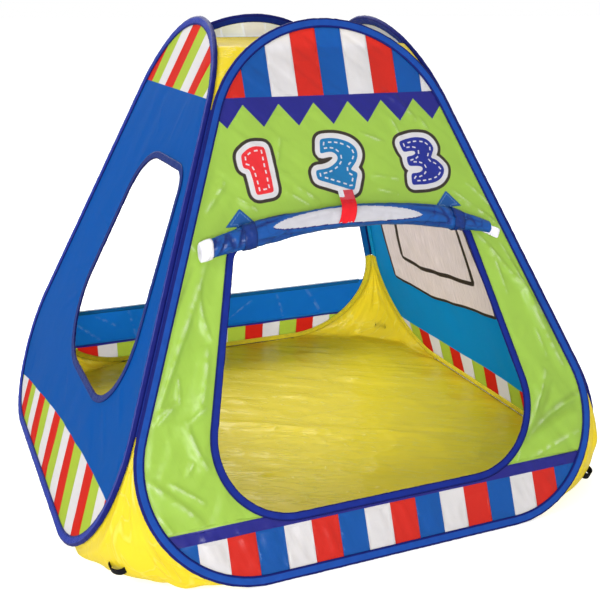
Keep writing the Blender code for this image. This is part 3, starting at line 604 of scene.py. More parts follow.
def woven_tape(name, roughness, rib):
    """A woven tape, dyed in the piece: cross ribs, a matt surface, and paler places where it is worn."""
    material, tree, shader = start_material(name, roughness, Specular_IOR_Level=0.04)
    place = add(tree, "UVMap", {"uv_map": "UVMap"})
    dye = add(tree, "Attribute", {"attribute_name": "dye"})
    cloud = add(tree, "TexNoise", {"Scale": 1 / 0.02, "Detail": 4.0}, {"Vector": place})
    value = add(tree, "MapRange", {"To Min": 0.78, "To Max": 1.22}, {"Value": cloud})
    toned = add(tree, "HueSaturation", {}, {"Color": dye, "Value": value})
    ribs = add(tree, "TexWave", {"bands_direction": "X", "Scale": wave_scale(rib)}, {"Vector": place})
    pucker = add(tree, "Bump", {"Strength": 0.4, "Distance": 0.0012}, {"Height": cloud})
    ribbed = add(tree, "Bump", {"Strength": 0.35, "Distance": 0.0003},
                 {"Height": ribs.outputs["Fac"], "Normal": pucker})
    feed(tree, shader, {"Base Color": toned, "Normal": ribbed})
    return material


def coated_sheet(name, share):
    """Polyethylene-coated polyester, calendered: a slick yellow sheet that crackles into small flat
    facets and long fine wrinkles, whose crests are painted pale, partly as the paler crushed coating and
    partly as a painted highlight, and that light comes through. The crests lie where a stretched noise is
    close to a half."""
    material, tree, shader = start_material(name, 0.27, Specular_IOR_Level=0.3)
    place = add(tree, "TexCoord").outputs["Object"]
    cloud = add(tree, "TexNoise", {"Scale": 1 / 0.09, "Detail": 3.0}, {"Vector": place})
    value = add(tree, "MapRange", {"To Min": 0.92, "To Max": 1.06}, {"Value": cloud})
    toned = add(tree, "HueSaturation", {"Color": (*linear("F0DC34"), 1.0)}, {"Value": value})
    drawn = add(tree, "Mapping", {"vector_type": "TEXTURE", "Scale": (0.11, 0.016, 0.22),
                                  "Rotation": (0, 0, math.radians(-30))}, {"Vector": place})
    wrinkles = add(tree, "TexNoise", {"Scale": 1.0, "Detail": 2.0, "Distortion": 0.5}, {"Vector": drawn})
    off_level = add(tree, "Math", {"operation": "SUBTRACT", 1: 0.5}, {0: wrinkles})
    distance = add(tree, "Math", {"operation": "ABSOLUTE"}, {0: off_level})
    crest = add(tree, "MapRange", {"From Min": 0.0, "From Max": 0.025, "To Min": 0.6, "To Max": 0.0},
                {"Value": distance})
    # Pale crests: partly the crushed coating, partly a painted highlight
    crest_wear_and_highlight = add(tree, "Mix", {"data_type": "RGBA", 7: (*linear("F6EA6E"), 1.0)},
                {0: crest, 6: toned}).outputs[2]
    crackle = add(tree, "TexNoise", {"noise_type": "RIDGED_MULTIFRACTAL", "Scale": 1 / 0.05,
                                     "Detail": 4.0, "Distortion": 0.5}, {"Vector": place})
    drawn_out = add(tree, "Bump", {"Strength": 0.5, "Distance": 0.003}, {"Height": crest})
    bump = add(tree, "Bump", {"Strength": 0.35, "Distance": 0.002},
               {"Height": crackle, "Normal": drawn_out})
    feed(tree, shader, {"Base Color": crest_wear_and_highlight, "Normal": bump})
    return shine_through(material, tree, shader, crest_wear_and_highlight, bump, share)


def drawn_steel():
    """Hardened spring steel, drawn and oiled: grey metal with fine lines along the wire."""
    material, tree, shader = start_material("spring_steel_drawn", 0.35, Metallic=1.0)
    place = add(tree, "TexCoord").outputs["Object"]
    lines = add(tree, "TexNoise", {"Scale": 1 / 0.004, "Detail": 2.0}, {"Vector": place})
    tone = add(tree, "ValToRGB", {}, {"Fac": lines})
    for element, code in zip(tone.color_ramp.elements, ("8E9092", "BFC1C3")):
        element.color = (*linear(code), 1.0)
    feed(tree, shader, {"Base Color": tone})
    return material


TAFFETA = printed_taffeta("polyester_taffeta_calendered", "dye", True)
MATT_TAFFETA = printed_taffeta("polyester_taffeta_matt", "dye", False)
TAFFETA_BACK = printed_taffeta("polyester_taffeta_inner_face", "lining", False)
LINED_TAFFETA = printed_taffeta("polyester_taffeta_opaque_lining", "lining", False, 0.03)
SLEEVE_TAPE = woven_tape("polyester_sleeve_tape", 0.42, 0.0012)
BINDING_TAPE = woven_tape("polyester_binding_tape", 0.45, 0.0010)
HOOK_TAPE = woven_tape("nylon_hook_tape", 0.7, 0.0015)
RED_TAPE = woven_tape("polyester_tie_ribbon", 0.5, 0.0012)
WEBBING = woven_tape("polypropylene_webbing", 0.6, 0.0016)
THREAD = woven_tape("polyester_thread", 0.55, 0.0006)
ROOF_SHEET = coated_sheet("coated_polyester_sheet", 0.5)
FLOOR_SHEET = coated_sheet("coated_polyester_groundsheet", 0.25)

# Tapes: the fold's edge, the face, and the sewn edge; where an edge is darker than the face, that is
# painted shade
LIGHT_SLEEVE = tape_tones("141B5C", "1C4492", "151D60")
DARK_SLEEVE = tape_tones("141A60", "162A84", "141E66")
DOOR_BINDING = tape_tones("131858", "182878", "131858")
WINDOW_BINDING = tape_tones("0E104C", "0A2464", "0A2464")
LOWER_HEM = tape_tones("C4CEE4", "1466BE", "1466BE")
UPPER_HEM = tape_tones("1E2478", "1450A4", "1450A4")
SHEET_YELLOW = linear("E6D63A")
SLEEVE_LININGS = {"front": LIME, "left": BLUE_INSIDE_PAINTED_LIGHTER, "right": TEAL_INSIDE_PAINTED_LIGHTER, "back": BLUE}
SEAM_BLUE = linear("1A2A78")
HOOK_WHITE = linear("E4E2E8")
TIE_RED = linear("D4242C")
TIE_PALE_RED = linear("D84A54")
THREAD_NAVY = linear("1B2C74")
WEBBING_BLACK = linear("141418")
STEEL = drawn_steel()

# Print of the front wall: pitches, levels and first edges, up and across the panel
STRIPE_PITCH = 0.0592
TOP_STRIPES_UP = 0.970
TOP_STRIPES_START = -0.2575
BOTTOM_STRIPES_UP = 0.105
BOTTOM_STRIPES_START = -0.423
NAVY_BAND_UP = 0.130
ZIGZAG_LOW = 0.907
ZIGZAG_HIGH = 0.955
ZIGZAG_PITCH = 0.0795
ZIGZAG_START = -0.0075
NUMERAL_WHITE = 0.011
NUMERAL_DARK = 0.018
NUMERAL_CORNER = 0.0035
SHARP_BEND = math.radians(52)
DASH_INSET = 0.009
DASH_PITCH = 0.0145
DASH_HALF_LENGTH = 0.004
DASH_HALF_WIDTH = 0.0016
# How far the painted highlights and painted shade of the creases go, on the front and on the back's inner
# face
FRONT_CREASE_LIGHT_AND_SHADE = 0.34
BACK_CREASE_LIGHT_AND_SHADE = 0.20
NUMERAL_ONE = np.array([(-202, 869), (-172, 866), (-165, 771), (-204, 767), (-211, 822), (-224, 824),
                        (-226, 851)]) / 1000
NUMERAL_TWO = np.array([
    (-46, 876), (-20, 878), (7, 873), (29, 861), (38, 842), (29, 821), (12, 806), (30, 799), (16, 761),
    (-66, 790), (-67, 810), (-38, 812), (-17, 823), (-10, 835), (-18, 846), (-31, 848),
    (-51, 844)]) / 1000
NUMERAL_THREE = np.array([
    (138, 860), (158, 866), (184, 869), (212, 863), (225, 842), (217, 828), (211, 820), (226, 816),
    (243, 795), (234, 773), (202, 762), (155, 763), (157, 789), (180, 789), (189, 798), (182, 804),
    (153, 805), (151, 826), (170, 828), (176, 834), (169, 839), (146, 836)]) / 1000


def softened(points):
    """A ring whose gentle bends are cut off at a quarter of each edge and whose sharp corners lose
    little, twice."""
    ring = np.array(points, float)
    for longest in (1.0, NUMERAL_CORNER):
        before, after = ring - np.roll(ring, 1, 0), np.roll(ring, -1, 0) - ring
        come, leave = (np.linalg.norm(edge, axis=1, keepdims=True) for edge in (before, after))
        bend = np.arccos(np.clip((before * after).sum(1, keepdims=True) / (come * leave), -1, 1))
        cut = np.where(bend > SHARP_BEND, NUMERAL_CORNER, longest)
        first = ring - before * np.minimum(0.27, cut / come)
        second = ring + after * np.minimum(0.27, cut / leave)
        ring = np.stack([first, second], 1).reshape(-1, 2)
    return evened(ring, PRINT_SPACING)


def ring_area(ring):
    """The area in a ring by the shoelace sum, below 0 for a clockwise ring."""
    after = np.roll(ring, -1, 0)
    return float((ring[:, 0] * after[:, 1] - ring[:, 1] * after[:, 0]).sum() / 2)


def counter_clockwise(ring):
    """The same ring, turned round when its area is below 0."""
    return ring if ring_area(ring) > 0 else ring[::-1]


NUMERALS = [(colour, counter_clockwise(softened(points))) for colour, points in (
    (NUMERAL_RED, NUMERAL_ONE), (NUMERAL_BLUE, NUMERAL_TWO), (NUMERAL_NAVY, NUMERAL_THREE))]


def dashes(ring):
    """Short stitches inside a numeral: middle and direction of each, at equal steps along the ring moved
    in."""
    line = offset_ring(ring, -DASH_INSET)
    count = round(len(line) * PRINT_SPACING / DASH_PITCH)
    chosen = np.linspace(0, len(line), count, endpoint=False).astype(int)
    aside = left_of(line)[chosen]
    return line[chosen], np.stack([aside[:, 1], -aside[:, 0]], -1), aside


def zigzag(across):
    """A triangle wave between two levels: its share is |2 frac(x / pitch + 1/2) - 1|."""
    share = np.abs(2 * np.mod((across - ZIGZAG_START) / ZIGZAG_PITCH + 0.5, 1) - 1)
    return ZIGZAG_LOW + (ZIGZAG_HIGH - ZIGZAG_LOW) * share


def striped(across, start, pitch, colours):
    """The colour at each place across: the whole part of (x - start) / pitch counts round the
    colours."""
    return np.array(colours)[np.floor((across - start) / pitch).astype(int) % len(colours)]


def level_cut(up):
    """A level line over the whole width of a wall."""
    return np.array([(-EDGE_HALF, up), (EDGE_HALF, up)]), False


def upright_cuts(start, pitch, low, high):
    """Upright lines between two levels, at each whole pitch from the start."""
    edges = np.arange(start - pitch * math.ceil((start + EDGE_HALF) / pitch), EDGE_HALF, pitch)
    return [(np.array([(across, low), (across, high)]), False) for across in edges]


def front_cuts():
    """The lines of the front print: stripe edges, band edges, zigzag and numerals with their borders."""
    tips = np.arange(-12, 13) * ZIGZAG_PITCH / 2 + ZIGZAG_START
    cuts = [level_cut(TOP_STRIPES_UP), level_cut(BOTTOM_STRIPES_UP), level_cut(NAVY_BAND_UP)]
    cuts.append((np.stack([tips, zigzag(tips)], -1), False))
    cuts += upright_cuts(TOP_STRIPES_START, STRIPE_PITCH, TOP_STRIPES_UP, WALL_TOP)
    cuts += upright_cuts(BOTTOM_STRIPES_START, STRIPE_PITCH, 0, BOTTOM_STRIPES_UP)
    for _, ring in NUMERALS:
        cuts.append((ring, True))
        cuts += [(offset_ring(ring, width), True) for width in (NUMERAL_WHITE, NUMERAL_DARK)]
        for middle, along, aside in zip(*dashes(ring)):
            long, wide = along * DASH_HALF_LENGTH, aside * DASH_HALF_WIDTH
            cuts.append((np.array([middle - long - wide, middle + long - wide,
                                   middle + long + wide, middle - long + wide]), True))
    return cuts


def front_dye(spots):
    """The front print: striped arch, navy zigzag, lime field with three numerals, navy band and striped
    foot."""
    across, up = spots.T
    # Painted highlights on the fold crests and painted shade in the folds that go in
    colours = creased(np.tile(LIME, (len(spots), 1)), spots, FRONT_FOLDS, FRONT_CREASE_LIGHT_AND_SHADE)
    navy = (up > zigzag(across)) | (up < NAVY_BAND_UP)
    colours[navy] = NAVY
    top = striped(across, TOP_STRIPES_START, STRIPE_PITCH, (RED, BLUE, WHITE))
    foot = striped(across, BOTTOM_STRIPES_START, STRIPE_PITCH, (WHITE, RED, BLUE))
    colours = np.where((up > TOP_STRIPES_UP)[:, None], top, colours)
    colours = np.where((up < BOTTOM_STRIPES_UP)[:, None], foot, colours)
    for colour, ring in NUMERALS:
        colours[inside(spots, offset_ring(ring, NUMERAL_DARK))] = OUTLINE_BROWN
        colours[inside(spots, offset_ring(ring, NUMERAL_WHITE))] = WHITE
        colours[inside(spots, ring)] = colour
        middle, along, aside = dashes(ring)
        offset = spots[:, None] - middle
        length, width = np.abs((offset * along).sum(-1)), np.abs((offset * aside).sum(-1))
        colours[((length < DASH_HALF_LENGTH) & (width < DASH_HALF_WIDTH)).any(1)] = WHITE
    return colours


def creased(colours, spots, folds, share):
    """Paints light and shade on sharp creases: on a fold's crest a share of the colour is white, a painted
    highlight broken up by value noise, and a fold that goes in is darker by half that share, a painted
    shade. Both are less beside it."""
    folds = np.array(folds)
    crests = folds[:, 6] > 0
    folds[:, 5] *= np.where(crests, 0.35, 0.7)
    folds[:, 6] = share
    # Painted highlight on the crests, broken up by noise; painted shade in the folds that go in
    patchy = np.clip(0.45 + 0.9 * noise(spots, 0.011, 7), 0, 1)
    pale = (np.minimum(fold_lines(spots, folds[crests]), share) * patchy)[:, None]
    dark = np.minimum(fold_lines(spots, folds[~crests]), share)[:, None] * 0.5
    return (colours + (1 - colours) * pale) * (1 - dark)


def edge_fade(spots, rings, reach):
    """0 outside the first ring and inside the others, where the tapes are, rising to 1 at the reach from
    them."""
    fades = [smooth(distance_to(spots, ring) / reach) for ring in rings]
    return between(spots, rings) * np.min(fades, axis=0)


# Folds of the front cloth in mm: across and up of both ends, bow, width of the steep flank, height
FRONT_FOLDS = np.array([
    (-322, 655, -480, 345, 2, 7.5, 6), (-352, 640, -478, 420, 0, 5, -3),
    (-347, 605, -339, 485, -9, 5, 3.2), (-350, 478, -386, 345, 3, 7, 4.5),
    (-414, 342, -383, 238, -4, 6, 4), (-508, 334, -425, 377, 2, 5, 3.6),
    (-412, 333, -368, 361, 0, 4.5, 3), (-470, 341, -434, 371, 0, 4, 2.6),
    (-518, 247, -402, 132, 6, 8, 4.8), (-463, 230, -395, 176, 0, 5, 3.4),
    (-508, 196, -460, 122, 0, 5, 3.4), (-416, 430, -421, 372, 0, 3.5, 2.2),
    (-408, 262, -425, 232, 0, 3.5, 2.2), (-402, 660, -470, 500, 4, 6, 2.6),
    (-365, 700, -345, 660, 0, 5, 2.6), (-480, 460, -520, 360, 0, 4.5, 2.4),
    (296, 648, 394, 512, 2, 5, 4.2), (374, 542, 515, 330, 4, 9.5, 7), (396, 505, 480, 314, -4, 6, 5),
    (356, 620, 418, 455, 3, 4.5, 3.8), (424, 324, 338, 180, 6, 7, 5.6), (440, 300, 372, 190, 4, 8, -3),
    (528, 267, 392, 212, -6, 5, -4.5), (508, 234, 290, 146, -12, 10, -6.8),
    (505, 254, 350, 176, -10, 8, 5.2), (490, 172, 345, 133, -4, 7, 4), (334, 176, 312, 130, 0, 4, 3),
    (330, 600, 352, 500, 0, 4, 2.6), (445, 455, 530, 300, 2, 4.5, 3.4), (410, 420, 435, 350, 0, 4, 2.8),
    (266, 724, 390, 633, 4, 5, 3.4), (290, 760, 374, 675, 2, 4.5, 3.2), (250, 748, 362, 652, 2, 4, 2.8),
    (312, 792, 356, 730, 0, 4, 2.8), (128, 912, 146, 868, 0, 3.5, 2.8), (196, 912, 216, 880, 0, 3.5, 2.8),
    (138, 972, 190, 905, 0, 4, 3.4), (110, 985, 150, 950, 0, 3.5, 2.6), (-118, 780, -62, 735, 2, 4.5, 3),
    (-140, 770, -90, 738, 0, 4, 2.4), (-265, 800, -318, 735, 0, 5, 2.8),
    (-135, 885, -150, 830, 0, 4.5, 2.6), (-245, 765, -205, 735, 0, 4, 2.6),
    (60, 790, 125, 778, 0, 4, 2.4), (70, 760, 120, 745, 0, 4, 2.2),
    (45, 885, 105, 860, 0, 4.5, 2.2)]) / 1000

FRONT_FOLD_STRENGTH = 1.35
FRONT_FADE = 0.016
WALL_FADE = 0.025

# Broad billows and fine creases of the front: height, cell, seed
FRONT_BILLOWS = ((0.0030, 0.16, 11), (0.0014, 0.07, 12))
FRONT_CREASES = (0.0016, 0.06, 13)

# Pulls left and right of the door, over the arch and at the foot: depth, degrees, length, width, seed, then
# where they start and how far on they are full, across and up
FRONT_PULLS = ((0.0022, 60, 0.20, 0.022, 14, -0.20, -0.08, 0.80, -0.1),
               (0.0026, 122, 0.24, 0.018, 15, 0.24, 0.05, 0.76, -0.1),
               (0.0013, 140, 0.09, 0.012, 16, -1, 0.1, 0.74, 0.05),
               (0.0020, 105, 0.08, 0.014, 17, -1, 0.1, 0.13, -0.02))

# Behind the roll the front is nearly flat: level and reach, half length and fade, share of the height left
BEHIND_ROLL = (0.69, 0.07, 0.34, 0.04, 0.15)


def front_relief(spots):
    """Height of the front cloth: its own folds, broad billows, fine creases, soft pulls down the two
    sides of the door and slanting gathers over the arch, all fading out at the sleeve and at the
    doorway's binding, and nearly flat behind the roll."""
    across, up = spots.T
    rise, cell, seed = FRONT_CREASES
    height = FRONT_FOLD_STRENGTH * fold_lines(spots, FRONT_FOLDS) + rise * creases(spots, cell, seed)
    for rise, cell, seed in FRONT_BILLOWS:
        height += rise * noise(spots, cell, seed)
    for depth, degrees, length, width, seed, side, side_full, level, level_full in FRONT_PULLS:
        where = smooth((across - side) / side_full) * smooth((up - level) / level_full)
        height += where * depth * streaks(spots, math.radians(degrees), length, width, seed)
    level, reach, half, fade, left = BEHIND_ROLL
    free = 1 - smooth(1 - np.abs(up - level) / reach) * smooth((half - np.abs(across)) / fade)
    rings = [loop_ring(SLEEVE_WIDTH), doorway_ring(BINDING_WIDTH)]
    return height * edge_fade(spots, rings, FRONT_FADE) * (left + (1 - left) * free)


# Prints of the other walls
SIDE_PITCH = 0.060
SIDE_SLANT = -0.45
SIDE_START = -0.095
BACK_SLANT = 0.10
RIGHT_SLANT = -0.20
LEFT_TOP_UP = 0.967
LEFT_TOP_SLANT = 0.35
LEFT_FOOT_CURVE = (0.150, 0.105, -0.09)
LEFT_FOOT_HIGHEST = 0.19
RIGHT_FOOT_UP = 0.10
RIGHT_LINING_UP = 0.975
BACK_FOOT_UP = 0.080
BACK_LINE = 0.008
SIDE_STRIPES = (SIDE_LIME, WHITE, RED)
BOARD_CORNERS = np.array([(322, 620), (-150, 660), (-181, 330), (-20, 311), (168, 280),
                          (376, 286)]) / 1000
BOARD_INNER = np.array([(215, 590), (-115, 630), (-113, 415), (8, 402), (176, 379), (270, 386)]) / 1000


def slanted_cuts(start, slant, low, high):
    """Stripe edges: a line at each whole pitch from the start, which moves across by the slant times its
    rise."""
    feet = start + np.arange(-14, 15) * SIDE_PITCH
    return [(np.array([(foot + up * slant, up) for up in (low, high)]), False) for foot in feet]


def slanted_stripes(spots, start, slant, colours):
    """Stripes that lean: each place counts as its x less the slant times its height."""
    return striped(spots[:, 0] - spots[:, 1] * slant, start, SIDE_PITCH, colours)


def left_foot(across):
    """The upper edge of the left wall's striped foot, a parabola that rises towards the front."""
    level, rise, bend = LEFT_FOOT_CURVE
    return level + rise * across + bend * across ** 2


def arch_cuts():
    """The lines of a striped arch: its lower edge and the edges of its stripes."""
    return [level_cut(LEFT_TOP_UP)] + slanted_cuts(0, LEFT_TOP_SLANT, LEFT_TOP_UP, WALL_TOP)


def arch_dye(spots):
    """Stripes in the arch over a blue field."""
    stripes = slanted_stripes(spots, 0, LEFT_TOP_SLANT, SIDE_STRIPES)
    return np.where(spots[:, 1:] > LEFT_TOP_UP, stripes, BLUE)


def left_cuts():
    """The lines of the left print: the arch, the curved edge of the foot, and the foot's stripes."""
    across = np.linspace(-EDGE_HALF, EDGE_HALF, 60)
    level, *stripes = arch_cuts()
    foot = slanted_cuts(SIDE_START, SIDE_SLANT, 0, LEFT_FOOT_HIGHEST)
    return [level, (np.stack([across, left_foot(across)], -1), False), *stripes, *foot]


def left_dye(spots):
    """The left print: a striped foot under the arch's print."""
    foot = slanted_stripes(spots, SIDE_START, SIDE_SLANT, SIDE_STRIPES)
    return np.where(spots[:, 1:] < left_foot(spots[:, :1]), foot, arch_dye(spots))


# The blank board's two rings, each with the width of its line
BOARDS = [(counter_clockwise(evened(points, PRINT_SPACING * 2)), line)
          for points, line in ((BOARD_CORNERS, 0.010), (BOARD_INNER, 0.014))]


def right_cuts():
    """The lines of the right print: the foot, the lining's edge, and the board's rings."""
    cuts = [level_cut(RIGHT_FOOT_UP), level_cut(RIGHT_LINING_UP)]
    cuts += slanted_cuts(0, RIGHT_SLANT, 0, RIGHT_FOOT_UP)
    for ring, line in BOARDS:
        cuts += [(ring, True), (offset_ring(ring, line), True)]
    return cuts


def right_print(spots, field):
    """A field with a blank wooden board, whose alpha 0 asks for the grain, and a striped foot."""
    colours = np.tile((*field, 1.0), (len(spots), 1))
    for ring, line in BOARDS:
        colours[inside(spots, offset_ring(ring, line))] = (*OUTLINE_BROWN, 1.0)
        colours[inside(spots, ring)] = (*BOARD, 0.0)
    foot = spots[:, 1] < RIGHT_FOOT_UP
    colours[foot, :3] = slanted_stripes(spots, 0, RIGHT_SLANT, SIDE_STRIPES)[foot]
    return colours


def right_lining(spots):
    """The inner face shows the print on a teal painted lighter, as light for the inside, apart from the
    pale cloth over the roof sheet.
    """
    colours = right_print(spots, TEAL_INSIDE_PAINTED_LIGHTER)
    colours[spots[:, 1] > RIGHT_LINING_UP] = (*LINING_PINK, 1.0)
    return colours


def back_cuts():
    """The lines of the low back panel's print: the foot's edge, the line over it, and the stripes."""
    cuts = [level_cut(BACK_FOOT_UP), level_cut(BACK_FOOT_UP + BACK_LINE)]
    return cuts + slanted_cuts(0, BACK_SLANT, 0, BACK_FOOT_UP)


def back_print(spots, field):
    """A striped foot, a navy line over it, and the field."""
    up = spots[:, 1:]
    stripes = slanted_stripes(spots, 0, BACK_SLANT, (RED, SIDE_LIME, WHITE))
    return np.where(up < BACK_FOOT_UP, stripes, np.where(up < BACK_FOOT_UP + BACK_LINE, NAVY, field))


# Fine gathers that hang under the window's point, then the window's other creases, in mm
WINDOW_GATHERS = [(across, 275 - 0.1 * abs(across - 80), across + 85, 200 - 0.1 * abs(across - 80),
                   0, 3.5, 1.6) for across in np.arange(-60, 240, 17)]
LEFT_FOLDS = np.array(WINDOW_GATHERS + [
    (300, 400, 420, 300, 0, 6, 2.2), (260, 310, 400, 220, 0, 6, 2), (-160, 420, -300, 330, 0, 6, 2.2),
    (-150, 500, -330, 440, 0, 6, 2), (-130, 600, -280, 620, 0, 5, 1.8), (0, 860, -60, 940, 0, 5, 2),
    (100, 850, 120, 950, 0, 5, 2)]) / 1000
BACK_FOLDS = np.array([(-300, 210, -380, 90, 0, 7, 3), (-200, 200, -240, 100, 0, 6, 2.8),
                       (-120, 190, -30, 100, 0, 6, 2.8), (50, 210, 20, 110, 0, 6, 2.8),
                       (160, 200, 250, 120, 0, 7, 3), (280, 210, 250, 100, 0, 6, 2.8),
                       (380, 200, 300, 140, 0, 6, 2.6), (440, 180, 360, 100, 0, 6, 2.6)]) / 1000


def wall_relief(rings, seed, billow, crinkle, folds=()):
    """The height of a plainer wall: its own folds, billows and creases, which fade out at its edges."""
    def height(spots):
        lift = billow * noise(spots, 0.2, seed) + billow * 0.4 * noise(spots, 0.08, seed + 1)
        lift += crinkle * creases(spots, 0.075, seed + 2)
        lift += billow * 0.5 * streaks(spots, math.radians(75), 0.4, 0.05, seed + 3)
        if len(folds):
            lift += fold_lines(spots, folds)
        return lift * edge_fade(spots, rings, WALL_FADE)
    return height


def clipped_ring(ring, level, keep_below):
    """The part of a ring on one side of a level line, closed along the line."""
    points = []
    for here, after in zip(ring, np.roll(ring, -1, 0)):
        if (here[1] <= level) == keep_below:
            points.append(here)
        if (here[1] <= level) != (after[1] <= level):
            points.append(here + (after - here) * (level - here[1]) / (after[1] - here[1]))
    return np.array(points)


def tape_profile(bore, cloth, width):
    """Cross-section of a folded tape, nose at 0: half circle, two legs that close on the wall cloth,
    hollow inside."""
    outer = bore + cloth
    tip = CLOTH_HALF + FIT_GAP
    angle = np.linspace(-QUARTER, QUARTER, 11)
    nose = np.stack([outer - outer * np.cos(angle), outer * np.sin(angle)], -1)
    share = np.linspace(0, 1, 5)[1:, None]
    upper = nose[-1] + (np.array([width, tip + cloth]) - nose[-1]) * share
    lower = upper[::-1] * (1, -1)
    hollow = np.linspace(QUARTER, -QUARTER, 5)
    inner = np.stack([outer - bore * np.cos(hollow), bore * np.sin(hollow)], -1)
    profile = np.concatenate([lower, nose, upper, [(width, tip)], inner, [(width, -tip)]])
    return profile, np.arange(len(profile)) < len(lower) + len(nose) + len(upper)


def length_along(points):
    """The sum of the steps up to each point."""
    return np.concatenate([[0], np.cumsum(np.linalg.norm(np.diff(points, axis=0), axis=1))])


def folded_tape(name, wall, line, closed, side, section, material, tones, seed, pucker, lining=None):
    """A tape folded over an edge: the section's bore, cloth and width make its profile, which is carried
    along the line, legs to one side, with its outer skin puffed out and gathered by value noise along
    the tape and round it, and its two edges in tones of their own, where darker than the face a painted
    shade. A lining is the colour of its inner leg at each place along the line."""
    bore, cloth, width = section
    profile, outside = tape_profile(bore, cloth, width)
    aside = left_of(line, closed) * side
    run, turn = length_along(line), length_along(profile)
    length, girth = np.meshgrid(run, turn, indexing="ij")
    ripple = sum(share * ripples(length, girth, along, round_it, seed + number)
                 for number, (share, along, round_it) in enumerate(TAPE_RIPPLES))
    radial = profile - (bore + cloth, 0)
    leg = radial[:, 0] >= 0
    radial[leg, 0], radial[leg, 1] = 0, np.sign(radial[leg, 1])
    radial = radial / np.linalg.norm(radial, axis=1, keepdims=True)
    carried = profile + (pucker * (0.5 + 0.5 * ripple) * outside)[..., None] * radial
    flat = line[:, None] + aside[:, None] * carried[..., :1]
    panel = np.concatenate([flat, carried[..., 1:]], -1)
    if closed:
        run = np.append(run, run[-1] + BAND_SPACING)
    uv = np.stack(np.meshgrid(run, np.append(turn, turn[-1] + 0.001), indexing="ij"), -1)
    reach = (profile[:, 0] + np.roll(profile[:, 0], -1)) / 2
    # Each face's tone by where it lies across the tape: an edge darker than the face is painted shade
    tone = np.where(reach < bore + cloth, 0, np.where(reach > width - SEWN_EDGE, 2, 1))
    dye = np.tile(np.array(tones)[tone], (len(run) - 1, 1, 1))
    if lining is not None:
        inner = (profile[:, 1] + np.roll(profile[:, 1], -1) < 0) & (reach > bore + cloth)
        dye[:, inner] = lining[:len(dye), None]
    return grid_piece(name, to_world(wall, panel), material, closed, True, uv, dye.reshape(-1, 3))


def stitch_row(name, wall, ring, height):
    """Lockstitches along a ring: a spindle of four four-sided rings, copied at each pitch on both
    faces."""
    spots = evened(ring, STITCH_PITCH)
    aside = left_of(spots)
    along = np.stack([aside[:, 1], -aside[:, 0]], -1)
    share = np.array([-0.5, -0.3, 0.3, 0.5])
    girth = np.array([0.35, 1.0, 1.0, 0.35])[:, None] * STITCH_HALF
    angle = QUARTER * np.arange(4)
    flat = spots[:, None, None] + along[:, None, None] * (share * STITCH_LENGTH)[:, None, None]
    flat = flat + aside[:, None, None] * (girth * np.cos(angle))[..., None]
    faces = [np.broadcast_to(side + girth * np.sin(angle), flat.shape[:3]) for side in (height, -height)]
    points = np.concatenate([np.concatenate([flat, out[..., None]], -1) for out in faces]).reshape(-1, 3)
    quads, _ = grid_quads(4, 4, False, True)
    spindle = np.array(quads.tolist() + [[3, 2, 1, 0], [12, 13, 14, 15]])
    faces = (spindle + np.arange(0, len(points), 16)[:, None, None]).reshape(-1, 4)
    uv = np.zeros((faces.size, 2))
    fit(new_piece(name, to_world(wall, points), faces.tolist(), THREAD, uv, THREAD_NAVY), BODIES[wall],
        "sleeve_tape")


BODIES = {"front": "front", "left": "left_side", "right": "right_side", "back": "back"}


def fit(piece, body, slot, *nodes):
    """Rides a piece on its body and lets it stand for its nodes. The slot is not used."""
    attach(piece, body)
    if nodes:
        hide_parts(*nodes)
    return piece


def add_wall(name, wall, rings, cuts, relief, dye, lining=None, inner=TAFFETA_BACK):
    """One wall's cloth: the front in calendered taffeta and finer, the others matt."""
    material, spacing, slot = TAFFETA, FRONT_SPACING, "lime_polyester"
    if wall != "front":
        material, spacing, slot = MATT_TAFFETA, WALL_SPACING, "blue_polyester"
    piece = cloth_piece(name + "_cloth", wall, rings, cuts, spacing, relief, dye, material, lining=lining,
                        inner=inner)
    fit(piece, BODIES[wall], slot, name)


def add_walls():
    """The five cloths, their prints and their inner faces."""
    edge, bare = loop_ring(CLOTH_REACH_IN_SLEEVE), loop_ring(SLEEVE_WIDTH)
    add_wall("front_wall", "front", [edge, doorway_ring(CLOTH_REACH_IN_BINDING)], front_cuts(),
             front_relief, front_dye)
    add_wall("left_wall", "left", [edge, window_ring(CLOTH_REACH_IN_BINDING)], left_cuts(),
             wall_relief([bare, window_ring(BINDING_WIDTH)], 31, 0.003, 0.0010, LEFT_FOLDS), left_dye)
    add_wall("right_wall", "right", [edge], right_cuts(), wall_relief([bare], 41, 0.004, 0.0010),
             lambda spots: right_print(spots, TEAL), right_lining)
    lower, lower_bare = (clipped_ring(ring, BACK_SILL - reach, True) for ring, reach in
                         ((edge, CLOTH_REACH_IN_BINDING), (bare, BINDING_WIDTH)))
    add_wall("back_lower_wall", "back", [lower], back_cuts(),
             wall_relief([lower_bare], 51, 0.003, 0.0022, BACK_FOLDS),
             lambda spots: back_print(spots, BLUE),
             # Inner face: a blue painted lighter as light for the inside, with painted highlights and shade
             # on its creases
             lambda spots: creased(back_print(spots, BLUE_INSIDE_PAINTED_LIGHTER), spots, BACK_FOLDS, BACK_CREASE_LIGHT_AND_SHADE))
    upper, upper_bare = (clipped_ring(ring, BACK_HEAD + reach, False) for ring, reach in
                         ((edge, CLOTH_REACH_IN_BINDING), (bare, BINDING_WIDTH)))
    add_wall("back_top_wall", "back", [upper], arch_cuts(), wall_relief([upper_bare], 61, 0.003, 0.0012),
             arch_dye, plain(LINING_WHITE), LINED_TAFFETA)


def sleeve_lining(wall, line):
    """Inside, the sleeve's leg is covered: by the floor sheet's sewn edge up to the side seams, above by
    the wall's own cloth, but not over the roof sheet."""
    up = line[:, 1:]
    field = np.where(up > RIGHT_LINING_UP, DARK_SLEEVE[1], SLEEVE_LININGS[wall])
    return np.where(up < SEAM_LOW, SHEET_YELLOW, field)


